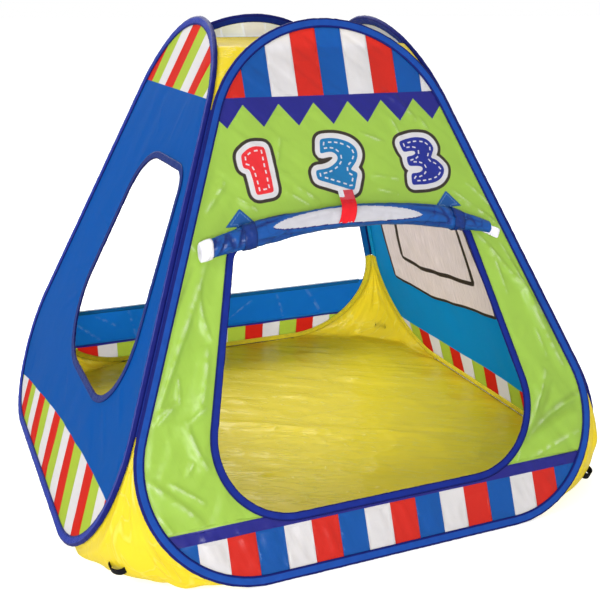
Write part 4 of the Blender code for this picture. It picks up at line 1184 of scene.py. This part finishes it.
def add_edges():
    """Sleeves of the four loops, bindings of the two openings, hems of the back wall, and their
    stitches."""
    sleeve = (SLEEVE_BORE, SLEEVE_CLOTH, SLEEVE_WIDTH)
    binding = (BINDING_BORE, BINDING_CLOTH, BINDING_WIDTH)
    for number, (wall, body) in enumerate(BODIES.items()):
        line = loop_ring(0, BAND_SPACING)
        tones = LIGHT_SLEEVE if wall == "front" else DARK_SLEEVE
        tape = folded_tape(wall + "_frame_sleeve_tape", wall, line, True, 1, sleeve, SLEEVE_TAPE, tones,
                           70 + number, TAPE_PUCKER, sleeve_lining(wall, line))
        fit(tape, body, "sleeve_tape", wall + "_frame_sleeve")
        stitch_row(wall + "_sleeve_stitches", wall, loop_ring(SLEEVE_WIDTH - SEWN_EDGE),
                   CLOTH_HALF + FIT_GAP + SLEEVE_CLOTH + 0.0010)
    for name, wall, ring, tones in (("doorway", "front", doorway_ring, DOOR_BINDING),
                                    ("window", "left", window_ring, WINDOW_BINDING)):
        tape = folded_tape(name + "_binding_tape", wall, ring(0, BAND_SPACING), True, -1, binding,
                           BINDING_TAPE, tones, 80, TAPE_PUCKER)
        fit(tape, BODIES[wall], "sleeve_tape", name + "_binding")
        stitch_row(name + "_binding_stitches", wall, ring(BINDING_WIDTH - 0.0025), BINDING_HALF + 0.0008)
    inner = loop_ring(SLEEVE_WIDTH + FIT_GAP, 0.002)
    for name, level, side, tones in (("back_lower_hem", BACK_SILL, -1, LOWER_HEM),
                                     ("back_top_hem", BACK_HEAD, 1, UPPER_HEM)):
        half = np.abs(inner[np.abs(inner[:, 1] - level) < 0.004, 0]).max() - BINDING_WIDTH
        line = evened(np.array([(-half, level), (half, level)]), BAND_SPACING, False)
        hem = folded_tape(name + "_tape", "back", line, False, side, binding, SLEEVE_TAPE, tones, 90,
                          HEM_PUCKER)
        fit(hem, "back", "sleeve_tape", name)


def add_seams():
    """Side seams: a corded piping on each fold line, its radius gathered by noise along it."""
    up = np.linspace(SEAM_LOW, SEAM_HIGH, 160)
    length, turn = np.meshgrid(up, math.tau / 12 * np.arange(12), indexing="ij")
    radius = SEAM_RADIUS * (0.9 + 0.1 * ripples(length, turn, 0.008, 1.2, 100))
    uv = np.stack(np.meshgrid(up, np.linspace(0, math.tau * SEAM_RADIUS, 13), indexing="ij"), -1)
    for name, wall, side in (("front_left_seam", "front", -1), ("front_right_seam", "front", 1),
                             ("back_left_seam", "left", -1), ("back_right_seam", "right", 1)):
        across = side * (AXIS_HALF - LEAN_SIN * length) + radius * np.cos(turn)
        points = to_world(wall, np.stack([across, length, -SEAM_DEPTH + radius * np.sin(turn)], -1))
        seam = grid_piece(name + "_piping", points, SLEEVE_TAPE, False, True, uv, SEAM_BLUE)
        fit(seam, BODIES[wall], "sleeve_tape", name)


ROLL_ENDS = [share * wall_half(DOOR_HEAD + over)
             for share, over in zip(ROLL_ENDS_SHARES, ROLL_OVER_HEAD[::2])]


def roll_parabola(across, left, middle, right):
    """A value along the roll: a parabola to each side, from the middle value to the one at that end."""
    end = np.where(across > 0, ROLL_ENDS[1], ROLL_ENDS[0])
    return middle + (np.where(across > 0, right, left) - middle) * (across / end) ** 2


def roll_radius(across):
    """The roll's radius, which gets thinner towards its ends."""
    return roll_parabola(across, *ROLL_RADII)


def roll_up(across):
    """The roll's middle line, which bows over the doorway."""
    return DOOR_HEAD + roll_parabola(across, *ROLL_OVER_HEAD)


def roll_out(across):
    """How far off the wall the roll's middle line is: the binding, a gap and its radius."""
    return BINDING_HALF + ROLL_WALL_GAP + roll_radius(across)


ROLL_WOUND_TURNS = 3.5
ROLL_FIRST_ANGLE = math.radians(-150)
LENS_ENDS = (-0.197, 0.141)
LENS_HALF = 0.0215
LENS_LINE = 0.0024
ROLL_ARC = 0.024
ROLL_SHRINK = 0.75
ROLL_THINNEST = 0.0012
ROLL_TOP_SHADE_BAND = (0.034, 0.039)
ROLL_BULGE = (0.005, 0.20, 0.07)
ROLL_DENTS = ((0.0016, 8, 0.09, 0.010, 111), (0.0016, 68, 0.05, 0.010, 112))
ROLL_CREASES = (0.028, 113)
ROLL_BLUE = linear("1E64B6")
ROLL_DARK = linear("17267A")
STRAP_BLUE = linear("183F92")

# Creases across the rolled cloth in mm: across and arc of both ends, bow, width, depth
ROLL_FOLDS = np.array([
    (-330, -30, -310, 30, 2, 3, 4.2), (-312, -30, -286, 30, 0, 3, 4), (-292, 28, -276, -30, 1, 3.5, 4.6),
    (-270, -30, -252, 34, 2, 3.5, 4), (-246, 10, -170, 20, 3, 3.2, 3.4),
    (-236, -18, -120, -26, -2, 3.5, 3.6), (-225, 30, -60, 34, 2, 3.5, 3.4),
    (-210, -34, -150, -10, 0, 3, 2.8), (-140, 0, -60, 6, 3, 4, 2.2), (20, 4, 120, -4, -2, 4, 2.2),
    (30, 30, 180, 24, 2, 3.8, 3.4), (120, 8, 205, 0, 3, 3.5, 3.4), (100, -30, 215, -22, 0, 3.5, 3.6),
    (190, 24, 214, -24, 2, 3.2, 4), (222, 22, 238, -22, 0, 3, 3.8), (243, -20, 262, 20, 0, 2.8, 3.6),
    (266, 18, 280, -18, 0, 2.8, 3.2), (206, 4, 296, 2, 1, 2.8, 2.6)]) / 1000


def lens_half(across):
    """Half height of the bare white lens: its share of the length s gives (4 s (1 - s))^0.6, nothing at
    the tips."""
    share = (across - LENS_ENDS[0]) / (LENS_ENDS[1] - LENS_ENDS[0])
    return LENS_HALF * np.clip(4 * share * (1 - share), 0, 1) ** 0.6


def wound_radius(across, turn):
    """The rolled cloth's radius at each place across and angle wound: a spiral whose radius shrinks
    evenly by turns, pressed in by its creases, by slanting folds and by value noise. It is taller by up
    to 10 mm at the straps."""
    radius = roll_radius(across) * (1 - ROLL_SHRINK * turn / (math.tau * ROLL_WOUND_TURNS))
    lie = ROLL_FIRST_ANGLE + turn
    rise, place, reach = ROLL_BULGE
    radius = radius + rise * np.exp(-((np.abs(across) - place) / reach) ** 2) * np.abs(np.sin(lie))
    spots = np.stack([across, lie * ROLL_ARC], -1)
    flat = spots.reshape(-1, 2)
    dent = fold_lines(flat, ROLL_FOLDS).reshape(across.shape)
    for depth, degrees, length, width, seed in ROLL_DENTS:
        dent += depth * (0.5 + 0.5 * streaks(spots, math.radians(degrees), length, width, seed))
    dent += 0.0012 * creases(spots, *ROLL_CREASES)
    return np.maximum(radius - dent * (radius / ROLL_RADII[1]), ROLL_THINNEST)


def round_roll(across, lie, radius):
    """Panel points at a radius and an angle round the roll's bowed middle line."""
    up, out = radius * np.sin(lie), radius * np.cos(lie)
    return np.stack([across, roll_up(across) + up, roll_out(across) + out], -1)


def roll_surface(across, turn):
    """The wound cloth's panel points at places across and angles wound."""
    return round_roll(across, ROLL_FIRST_ANGLE + turn, wound_radius(across, turn))


def roll_dye(across, lie):
    """Blue, painted darker as shade in the creases and towards both ends, with a painted shade along the
    top edge and a bare white lens in front."""
    spots = np.stack([across, lie * ROLL_ARC], -1)
    # Painted shade: darker in the creases, and more so towards both ends
    near_end = 0.45 + 0.55 * smooth((np.abs(across + 0.02) - 0.14) / 0.1)
    crease = np.clip(fold_lines(spots, ROLL_FOLDS) / 0.003, 0, 1)
    fine = smooth((creases(spots, *ROLL_CREASES) - 0.45) / 0.35)
    shade = np.clip((0.75 * crease + 0.55 * fine) * near_end, 0, 0.9)
    arc = lie * roll_radius(across) + 0.0025 + 0.0035 * np.tanh(across / 0.05)
    half = lens_half(across)
    # Painted shade along the top edge of the roll's left part
    shade[(arc > ROLL_TOP_SHADE_BAND[0]) & (arc < ROLL_TOP_SHADE_BAND[1]) & (across < -0.03)] = 0.9
    colours = ROLL_BLUE + (ROLL_DARK - ROLL_BLUE) * shade[:, None]
    colours[np.abs(arc) < half] = WHITE
    under = (arc < -half) & (np.abs(arc + LENS_LINE / 2) < half + LENS_LINE / 2)
    colours[under & (half > 0)] = ROLL_DARK
    return colours


def add_roll():
    """The rolled flap: an outer turn of even steps and the turns inside it."""
    turn = np.concatenate([np.linspace(0, math.tau, 92, endpoint=False),
                           np.linspace(math.tau, math.tau * ROLL_WOUND_TURNS, 92)])
    length, angle = np.meshgrid(np.linspace(*ROLL_ENDS, 256), turn, indexing="ij")
    quads, _ = grid_quads(*length.shape)
    middle, lie = (values.ravel()[quads].mean(1) for values in (length, angle + ROLL_FIRST_ANGLE))
    uv = np.stack([length, angle * ROLL_ARC], -1)
    points = to_world("front", roll_surface(length, angle))
    roll = grid_piece("door_flap_rolled_cloth", points, TAFFETA, uv=uv, dye=roll_dye(middle, lie),
                      thickness=CLOTH_SKIN)
    fit(roll, "door_flap", "blue_polyester", "door_flap_roll")


def band_round_roll(name, middle, width, material, tone, ruffle, cap, seed, slot):
    """A tape wound once round the roll: it hugs the rolled cloth, ruffled outwards by value noise, and
    is painted darker at both edges as shade. A cap folds it over the roll's end, its radius shrinking to
    a twentieth in pleats."""
    across = np.linspace(middle - width / 2, middle + width / 2, 15)
    turn = math.tau / 80 * np.arange(80)
    length, angle = np.meshgrid(across, turn, indexing="ij")
    snug = wound_radius(length, angle)
    ease = smooth((angle - math.tau + 0.7) / 0.7)
    snug = snug + (wound_radius(length, np.zeros_like(angle)) - snug) * ease
    lift = 0.5 + 0.5 * noise(np.stack([length / 0.009 + angle, angle / 0.35], -1), 1.0, seed)
    radius = snug + FIT_GAP + TAPE_THICKNESS / 2 + ruffle * lift
    if cap:
        share = np.array(RING_CAP_SHARES)[:, None]
        pleat = 1 + 0.12 * np.sin(7 * turn) * (1 - share)
        radius = np.concatenate([radius[:1] * share * pleat, radius])
        across = np.concatenate([across[0] - np.array(RING_CAP_OUT), across])
        length, angle = np.meshgrid(across, turn, indexing="ij")
    wide = np.linspace(0, math.tau * 0.025, len(turn) + 1)
    uv = np.stack(np.meshgrid(across, wide, indexing="ij"), -1)[..., ::-1]
    # Painted shade: darker by up to a quarter towards both edges
    steps = np.arange(len(across) - 1) + 0.5
    edge = np.abs(steps / (len(across) - 1) - 0.5) * 2
    shade = np.repeat(smooth((edge - 0.55) / 0.35), len(turn)) * 0.25
    dye = tone * (1 - shade[:, None])
    points = to_world("front", round_roll(length, ROLL_FIRST_ANGLE + angle, radius))
    piece = grid_piece(name + "_tape", points, material, False, True, uv, dye, TAPE_THICKNESS)
    fit(piece, "door_flap", slot, name)


def tab_dye(ring):
    """Blue with a paler stitched line 4 mm inside the tab's edge."""
    def dye(spots):
        depth = distance_to(spots, ring)
        stitched = (depth > 0.0040) & (depth < 0.0056)
        return np.where(stitched[:, None], linear("6C9AD2"), linear("2565B2"))
    return dye


def tab_relief(spots):
    """The tabs lie over the front cloth, with value noise of their own."""
    return front_relief(spots) + TAB_OVER_WALL + 0.0007 * noise(spots, 0.012, 123)


def add_fastenings():
    """Ring, straps, arrowhead tabs and closure patch of the flap."""
    band_round_roll("flap_closure_ring", ROLL_ENDS[0] + RING_WIDTH / 2, RING_WIDTH, HOOK_TAPE, HOOK_WHITE,
                    RING_RUFFLE, True, 121, "white_hook_tape")
    for side, share, end, over in zip(("left", "right"), STRAP_SHARES, ROLL_ENDS, TAB_OVER_ROLL):
        middle = share * end
        band_round_roll("flap_strap_" + side, middle, STRAP_WIDTH, TAFFETA, STRAP_BLUE, STRAP_RUFFLE,
                        False, 122, "blue_polyester")
        tip = float(roll_up(middle)) + over
        shoulder = tip - TAB_HEIGHT
        foot = float(roll_up(middle)) + float(roll_radius(middle)) / 2
        half = [(TAB_STALK_HALF, foot), (TAB_STALK_HALF, shoulder), (TAB_HALF_WIDTH, shoulder)]
        ring = [(-half[0][0], foot), *half, (0, tip)] + [(-aside, up) for aside, up in half[:0:-1]]
        ring = counter_clockwise(evened(np.array(ring) + (middle, 0), PRINT_SPACING))
        piece = cloth_piece("strap_tab_" + side + "_cloth", "front", [ring], [], 0.0022, tab_relief,
                            tab_dye(ring), TAFFETA, TAPE_THICKNESS)
        fit(piece, "door_flap", "blue_polyester", "strap_tab_" + side)
    along = np.array([math.cos(PATCH_TILT), math.sin(PATCH_TILT)])
    aside = np.array([-along[1], along[0]])
    up = DOOR_HEAD - PATCH_UNDER_HEAD
    centre = np.array([wall_half(up) - PATCH_FROM_EDGE, up])
    half = np.array(PATCH_SIZE) / 2
    corners = half * np.array([(-1, -1), (1, -1), (1, 1), (-1, 1)])
    flat = rounded(corners, [PATCH_RADIUS] * 4, 0, 0.002)
    ring = centre + flat[:, :1] * along + flat[:, 1:] * aside
    patch = cloth_piece("wall_closure_patch_tape", "front", [ring], [], 0.003,
                        lambda spots: front_relief(spots) + PATCH_OVER_WALL, plain(HOOK_WHITE), HOOK_TAPE,
                        TAPE_THICKNESS)
    fit(patch, "front", "white_hook_tape", "wall_closure_patch")


TIE_SHIFT = -0.006
TIE_SLANT = -0.034
TIE_LOWEST = math.radians(-40)
TIE_TUCK = 0.012
TIE_STEP = 0.0015
TIE_RED_SHARE = 0.45
TIE_WHITE_WIDTH = 0.011
TIE_WHITE_LENGTH = 0.038


def add_tie():
    """The red tie: sewn to the wall at its top, then round the front of the roll. It slants to one side
    by a share of its length, is creased lengthwise, has a white strip along its upper left edge and a
    ragged lower end."""
    middle_up = float(roll_up(TIE_ACROSS))
    middle_out = float(roll_out(TIE_ACROSS))
    radius = float(roll_radius(TIE_ACROSS)) + FIT_GAP * 2 + TIE_THICKNESS / 2
    top = DOOR_HEAD + ROLL_OVER_HEAD[1] + TIE_TOP_OVER_ROLL
    wall = CLOTH_HALF + FIT_GAP + TIE_THICKNESS / 2
    angle = np.linspace(TIE_HIGHEST, TIE_LOWEST, 24)
    wrap = np.stack([middle_up + radius * np.sin(angle), middle_out + radius * np.cos(angle)], -1)
    sewn = [(top - TIE_TUCK, wall), (top - TIE_SEWN_LENGTH, wall)]
    path = evened(np.concatenate([sewn, wrap]), TIE_STEP, False)
    share = np.linspace(-0.5, 0.5, 19)
    run_length = np.linspace(0, 1, len(path))[:, None]
    ragged = 0.004 * noise(np.stack([share * 9, share * 0], -1), 1.0, 133)
    place = np.clip(run_length * (1 + ragged / 0.1), 0, 1) * (len(path) - 1)
    length, aside = place * TIE_STEP, np.broadcast_to(share * TIE_WIDTH, place.shape)
    lift = 0.0012 * np.abs(ripples(length, aside, 0.03, 0.007, 131))
    run = np.gradient(path, axis=0)
    run /= np.linalg.norm(run, axis=1, keepdims=True)
    normal = np.stack([-run[:, 1], run[:, 0]], -1)
    normal *= np.where(normal[:, 1:] < 0, -1, 1)
    stations = np.arange(len(path))
    up, out, normal_up, normal_out = (np.interp(place, stations, line) for line in (*path.T, *normal.T))
    lean = TIE_SHIFT + TIE_SLANT * place / (len(path) - 1)
    panel = np.stack([TIE_ACROSS + aside + lean, up + normal_up * lift, out + normal_out * lift], -1)
    uv = np.stack([aside, length], -1)
    quads, _ = grid_quads(*length.shape)
    along, over = length.ravel()[quads].mean(1), aside.ravel()[quads].mean(1)
    dye = np.where((along > TIE_RED_SHARE * length.max())[:, None], TIE_RED, TIE_PALE_RED)
    dye[(over < TIE_WHITE_WIDTH - TIE_WIDTH / 2) & (along < TIE_WHITE_LENGTH)] = HOOK_WHITE
    tie = grid_piece("flap_tie_ribbon", to_world("front", panel), RED_TAPE, uv=uv[..., ::-1], dye=dye,
                     thickness=TIE_THICKNESS)
    fit(tie, "tie", "red_tie_tape", "flap_tie")


FLAP_ROOT_HALF = 0.235
FLAP_ROOT_SEWN = 0.006
FLAP_ROOT_OUT = BINDING_HALF + 0.0012


def add_flap_root():
    """The last of the flap's cloth, from the end of the spiral back to the head of the doorway, straight
    across the gap, with 6 mm sewn down on the binding."""
    across = np.linspace(-FLAP_ROOT_HALF, FLAP_ROOT_HALF, 120)
    head = doorway_ring(0.001, 0.004)
    head = head[head[:, 1] > DOOR_HEAD - 0.02]
    head = head[np.argsort(head[:, 0])]
    sewn = np.stack([across, np.interp(across, *head.T), np.full(len(across), FLAP_ROOT_OUT)], -1)
    rolled = roll_surface(across, np.zeros(len(across)))
    upper = sewn + (0, FLAP_ROOT_SEWN, 0)
    share = np.linspace(0, 1, 7)[:, None, None]
    panel = np.concatenate([upper + (sewn - upper) * share[:-1], sewn + (rolled - sewn) * share])
    piece = grid_piece("door_flap_root_cloth", to_world("front", panel), TAFFETA, uv=panel[..., :2],
                       dye=ROLL_BLUE, thickness=CLOTH_SKIN)
    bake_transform(piece)


OUT_OF_CORNER = np.array([1, -1, 0]) / math.sqrt(2)


def sheet_edge(middle, radius, angle, inset, depth=SLEEVE_HALF + FIT_GAP + SHEET_THICKNESS / 2):
    """Points of a sheet's edge on the inner face of the front sleeve, in the tent's frame: on an arc
    round the middle, in from the loop by the inset and behind it by the depth."""
    across, up = (centre + (radius - inset) * way(angle) for centre, way in zip(middle, (np.cos, np.sin)))
    return to_world("front", np.stack([across, up, np.full(len(angle), -depth)], -1))


def floor_edge(rows):
    """From the flat floor up the round corner to the foot of the side seam."""
    corner = (CORNER_CENTRE, CORNER_RADIUS)
    forward = SLEEVE_HALF * LEAN_SIN + SLEEVE_HALF + FIT_GAP
    height = SHEET_THICKNESS / 2
    angle = -QUARTER + (QUARTER + SIDE_ANGLE) * np.linspace(0, 1, rows + 1)
    edge = sheet_edge(corner, CORNER_RADIUS, angle, SLEEVE_HALF)
    inset, depth = forward * LEAN_SIN + height * LEAN_COS, forward * LEAN_COS - height * LEAN_SIN
    edge[0] = sheet_edge(corner, CORNER_RADIUS, angle[:1], inset, depth)[0]
    return edge


def roof_edge(rows):
    """From the flat roof down the arch to the head of the side seam."""
    top = math.asin((ROOF_LEVEL - ARCH_CENTRE) / (ARCH_RADIUS - SLEEVE_HALF))
    angle = top + (SIDE_ANGLE - top) * np.linspace(0, 1, rows + 1)
    return sheet_edge((0, ARCH_CENTRE), ARCH_RADIUS, angle, SLEEVE_HALF)


def gusset(edge, share, bulge):
    """Straight across a corner to the mirror edge, swollen outwards by its length times the bulge times
    sin(pi t)."""
    mirror = np.stack([-edge[..., 1], -edge[..., 0], edge[..., 2]], -1)
    span = mirror - edge
    swell = np.linalg.norm(span, axis=-1)[..., None] * bulge * np.sin(math.pi * share)[..., None]
    return edge + span * share[..., None] + OUT_OF_CORNER * swell


def quarter_turned(points, corner):
    """Points turned about the tent's upright axis by whole quarters."""
    turn = np.array(Matrix.Rotation(QUARTER * corner, 3, "Z"))
    return points @ turn.T


def corner_grids(edge, bulge, seed, fold):
    """The four gussets, whose folds fan from the seam and stay clear of the peg loops: value noise
    across the gusset, as high as the fold's share of the gusset's width."""
    rows = len(edge) - 1
    row, across = np.meshgrid(np.arange(rows + 1), np.linspace(0, 1, GUSSET_COLUMNS + 1), indexing="ij")
    flat = gusset(edge[row], across, bulge)
    away = np.hypot((across - PEG_LOOP_PLACE[0]) / PEG_LOOP_CLEAR[0],
                    (row / rows - PEG_LOOP_PLACE[1]) / PEG_LOOP_CLEAR[1])
    fade = smooth(row / 5) * smooth(across / 0.15) * smooth((1 - across) / 0.15) * smooth(away * 2 - 1)
    height = fold * fade * np.linalg.norm(flat[:, -1] - flat[:, 0], axis=1)[:, None]
    spots = np.stack([across * 7, row / rows * 1.2], -1)
    grids = []
    for corner in range(4):
        ripple = noise(spots, 1.0, seed + 10 + corner) + 0.6 * noise(spots * 2.1, 1.0, seed + 20 + corner)
        grids.append(quarter_turned(flat + (ripple * height)[..., None] * OUT_OF_CORNER, corner))
    return grids


def flat_middle(ring, lift):
    """The sheet between the gussets' feet: points, triangles, and the lift, which starts at the edge."""
    boundary = []
    for point, after in zip(ring, np.roll(ring, -1, 0)):
        steps = max(1, round(np.linalg.norm(after - point) / SHEET_SPACING))
        boundary.append(point + (after - point) * (np.arange(steps) / steps)[:, None])
    boundary = np.concatenate(boundary)
    coarse = evened(boundary, 0.03)
    spots = hex_grid(boundary, SHEET_SPACING)
    spots = spots[inside(spots, boundary)]
    spots = spots[distance_to(spots, coarse) > SHEET_SPACING * 0.5]
    spots, faces = joined(spots, [(boundary, True)])
    faces = faces[inside(spots[faces].mean(1), boundary)]
    return spots, faces, lift(spots) * smooth(distance_to(spots, coarse) / 0.03)


def corner_sheet(name, edge, bulge, seed, lift, fold, node, material):
    """A sheet with a crackled middle and a gusset in each corner. The middle has its own material,
    because the ground lies under the floor's and less light comes through it. The points that the parts
    share are merged."""
    grids = corner_grids(edge, bulge, seed, fold)
    ring = np.concatenate([grid[0] for grid in grids])
    spots, middle, height = flat_middle(ring[:, :2], lift)
    flat = np.column_stack([spots, ring[0, 2] + height])
    points = np.concatenate([flat, np.concatenate(grids).reshape(-1, 3)])
    quads, _ = grid_quads(*grids[0].shape[:2])
    faces = middle.tolist()
    for first in len(spots) + np.arange(4) * grids[0][..., 0].size:
        faces += (quads + first).tolist()
    piece = new_piece(name, points, faces, material, thickness=CLOTH_SKIN)
    piece.data.materials.append(ROOF_SHEET)
    hangs = np.arange(len(faces)) >= len(middle)
    piece.data.polygons.foreach_set("material_index", hangs.astype(np.int32))
    body = bmesh.new()
    body.from_mesh(piece.data)
    bmesh.ops.remove_doubles(body, verts=body.verts, dist=1e-6)
    bmesh.ops.recalc_face_normals(body, faces=body.faces)
    body.to_mesh(piece.data)
    body.free()
    fit(piece, "front", "yellow_sheet", node)
    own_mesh(piece)


def floor_lift(spots):
    """The floor's crackle, only upwards: long soft ridges over sharp small creases."""
    ridge = np.maximum(streaks(spots, math.radians(-30), 0.30, 0.05, 201), 0)
    wrinkle = np.maximum(streaks(spots, math.radians(-33), 0.14, 0.022, 205), 0) ** 2
    return 0.005 * ridge + 0.005 * wrinkle + 0.003 * creases(spots, 0.09, 202)


def roof_lift(spots):
    """The roof sags by a parabola towards its middle, with light creases."""
    sag = 1 - np.clip((spots ** 2).sum(-1) / 0.2 ** 2, 0, 1)
    return -0.008 * sag + 0.0015 * noise(spots, 0.05, 211) + 0.001 * creases(spots, 0.05, 212)


def add_peg_loops():
    """Webbing arched off each floor gusset: a half ellipse of the span and the rise, two ends sewn
    down."""
    edge = floor_edge(PEG_CELL_ROWS)
    shares = (PEG_CELL_COLUMNS // 3 + np.arange(2)) / PEG_CELL_COLUMNS
    lower, upper = (gusset(edge[[row, row]], shares, FLOOR_BULGE_SHARE)
                    for row in PEG_CELL_ROWS // 4 + np.arange(2))
    middle = (lower.sum(0) + upper.sum(0)) / 4
    along = lower[1] - lower[0] + upper[1] - upper[0]
    along /= np.linalg.norm(along)
    out = np.cross(along, upper.sum(0) - lower.sum(0))
    out /= np.linalg.norm(out)
    lift = (SHEET_THICKNESS + PEG_LOOP_THICKNESS) / 2 + FIT_GAP
    turn, aside = np.meshgrid(np.linspace(0, math.pi, 33), np.linspace(-0.5, 0.5, 7) * PEG_LOOP_WIDTH,
                              indexing="ij")
    points = middle - along * (np.cos(turn) * PEG_LOOP_SPAN / 2)[..., None]
    points = points + out * (lift + PEG_LOOP_RISE * np.sin(turn))[..., None]
    points = points + np.cross(out, along) * aside[..., None]
    uv = np.stack([turn * PEG_LOOP_SPAN / 2, aside], -1)
    for corner, (name, body) in enumerate((("front_right", "front"), ("back_right", "right_side"),
                                           ("back_left", "left_side"), ("front_left", "front"))):
        loop = grid_piece("peg_loop_" + name + "_webbing", quarter_turned(points, corner), WEBBING, uv=uv,
                          dye=WEBBING_BLACK, thickness=PEG_LOOP_THICKNESS)
        fit(loop, body, "black_webbing", "peg_loop_" + name)


def dress_steel():
    """Drawn-steel finish on the wires and ferrules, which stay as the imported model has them."""
    for wall in BODIES:
        for part in ("_frame_wire", "_wire_ferrule"):
            node = bpy.data.objects[wall + part]
            for material_slot in node.material_slots:
                material_slot.material = STEEL


# Camera as it stood for the photograph
CAMERA_PLACE = (-0.8699, -2.1332, 1.1011)
CAMERA_HEADING = math.radians(23.16)
CAMERA_PITCH = math.radians(17.88)
CAMERA_ROLL = math.radians(0.42)
CAMERA_LENS = 57.11
SENSOR_WIDTH = 36.0

# The plain floor, and the lamps: name, place, what it is aimed at, size and power
STUDIO_HALF = 40.0
LAMPS = (("front_lamp", (-1.4, -3.6, 1.15), (0, 0, 0.4), 1.0, 84),
         ("left_lamp", (-3.3, -0.8, 1.7), (0, 0, 0.4), 1.4, 44),
         ("back_lamp", (-0.4, 2.6, 2.7), (0, 0, 0.3), 3.0, 112))


def add_camera():
    """The camera at its place: tilted by the pitch, turned by the heading, and rolled."""
    camera = bpy.data.objects.new("camera", bpy.data.cameras.new("camera"))
    camera.data.lens = CAMERA_LENS
    camera.data.sensor_width = SENSOR_WIDTH
    turn = Matrix.Rotation(-CAMERA_HEADING, 4, "Z") @ Matrix.Rotation(QUARTER - CAMERA_PITCH, 4, "X")
    camera.matrix_world = Matrix.Translation(CAMERA_PLACE) @ turn @ Matrix.Rotation(CAMERA_ROLL, 4, "Z")
    bpy.context.scene.collection.objects.link(camera)
    bpy.context.scene.camera = camera


def add_lamp(name, place, target, size, power):
    """A round lamp at its place, aimed at the target."""
    lamp = bpy.data.lights.new(name, "AREA")
    lamp.shape = "DISK"
    lamp.size = size
    lamp.energy = power
    item = bpy.data.objects.new(name, lamp)
    item.rotation_euler = (Vector(place) - Vector(target)).to_track_quat("Z", "Y").to_euler()
    item.location = place
    bpy.context.scene.collection.objects.link(item)


def add_studio():
    """A pale floor, a soft key lamp, a fill and an even white surround."""
    corners = STUDIO_HALF * np.array([(-1, -1, 0), (1, -1, 0), (1, 1, 0), (-1, 1, 0)]) - (0, 0, FIT_GAP)
    material, tree, shader = start_material("studio_floor_paint", 0.8)
    shader.inputs["Base Color"].default_value = (*linear("F0F0F0"), 1.0)
    shader.inputs["Emission Color"].default_value = (1, 1, 1, 1)
    rays = add(tree, "LightPath").outputs
    seen = add(tree, "Math", {"operation": "MULTIPLY", 1: 0.5}, {0: rays["Is Camera Ray"]})
    feed(tree, shader, {"Emission Strength": seen})
    new_piece("studio_floor", corners, [[0, 1, 2, 3]], material)
    for lamp in LAMPS:
        add_lamp(*lamp)
    world = bpy.data.worlds.new("studio")
    bpy.context.scene.world = world
    world.use_nodes = True
    tree = world.node_tree
    soft = tree.nodes["Background"]
    soft.inputs["Color"].default_value = (1, 1, 1, 1)
    soft.inputs["Strength"].default_value = 0.66
    bright = add(tree, "Background", {"Color": (1, 1, 1, 1), "Strength": 1.0})
    rays = add(tree, "LightPath").outputs
    seen = rays["Is Camera Ray"]
    for kind in ("Is Glossy Ray", "Is Transmission Ray"):
        seen = add(tree, "Math", {"operation": "MAXIMUM"}, {0: seen, 1: rays[kind]})
    mixed = add(tree, "MixShader", {}, {0: seen, 1: soft, 2: bright})
    feed(tree, tree.nodes["World Output"], {"Surface": mixed})
    bpy.context.scene.view_settings.view_transform = "Standard"


add_camera()
add_walls()
add_edges()
add_seams()
corner_sheet("ground_sheet_cloth", floor_edge(FLOOR_ROWS), FLOOR_BULGE_SHARE, 220, floor_lift, 0.055,
             "ground_sheet", FLOOR_SHEET)
corner_sheet("roof_sheet_cloth", roof_edge(ROOF_ROWS), ROOF_BULGE_SHARE, 240, roof_lift, 0.03,
             "roof_sheet", ROOF_SHEET)
add_roll()
add_flap_root()
add_fastenings()
add_tie()
add_peg_loops()
dress_steel()
add_studio()
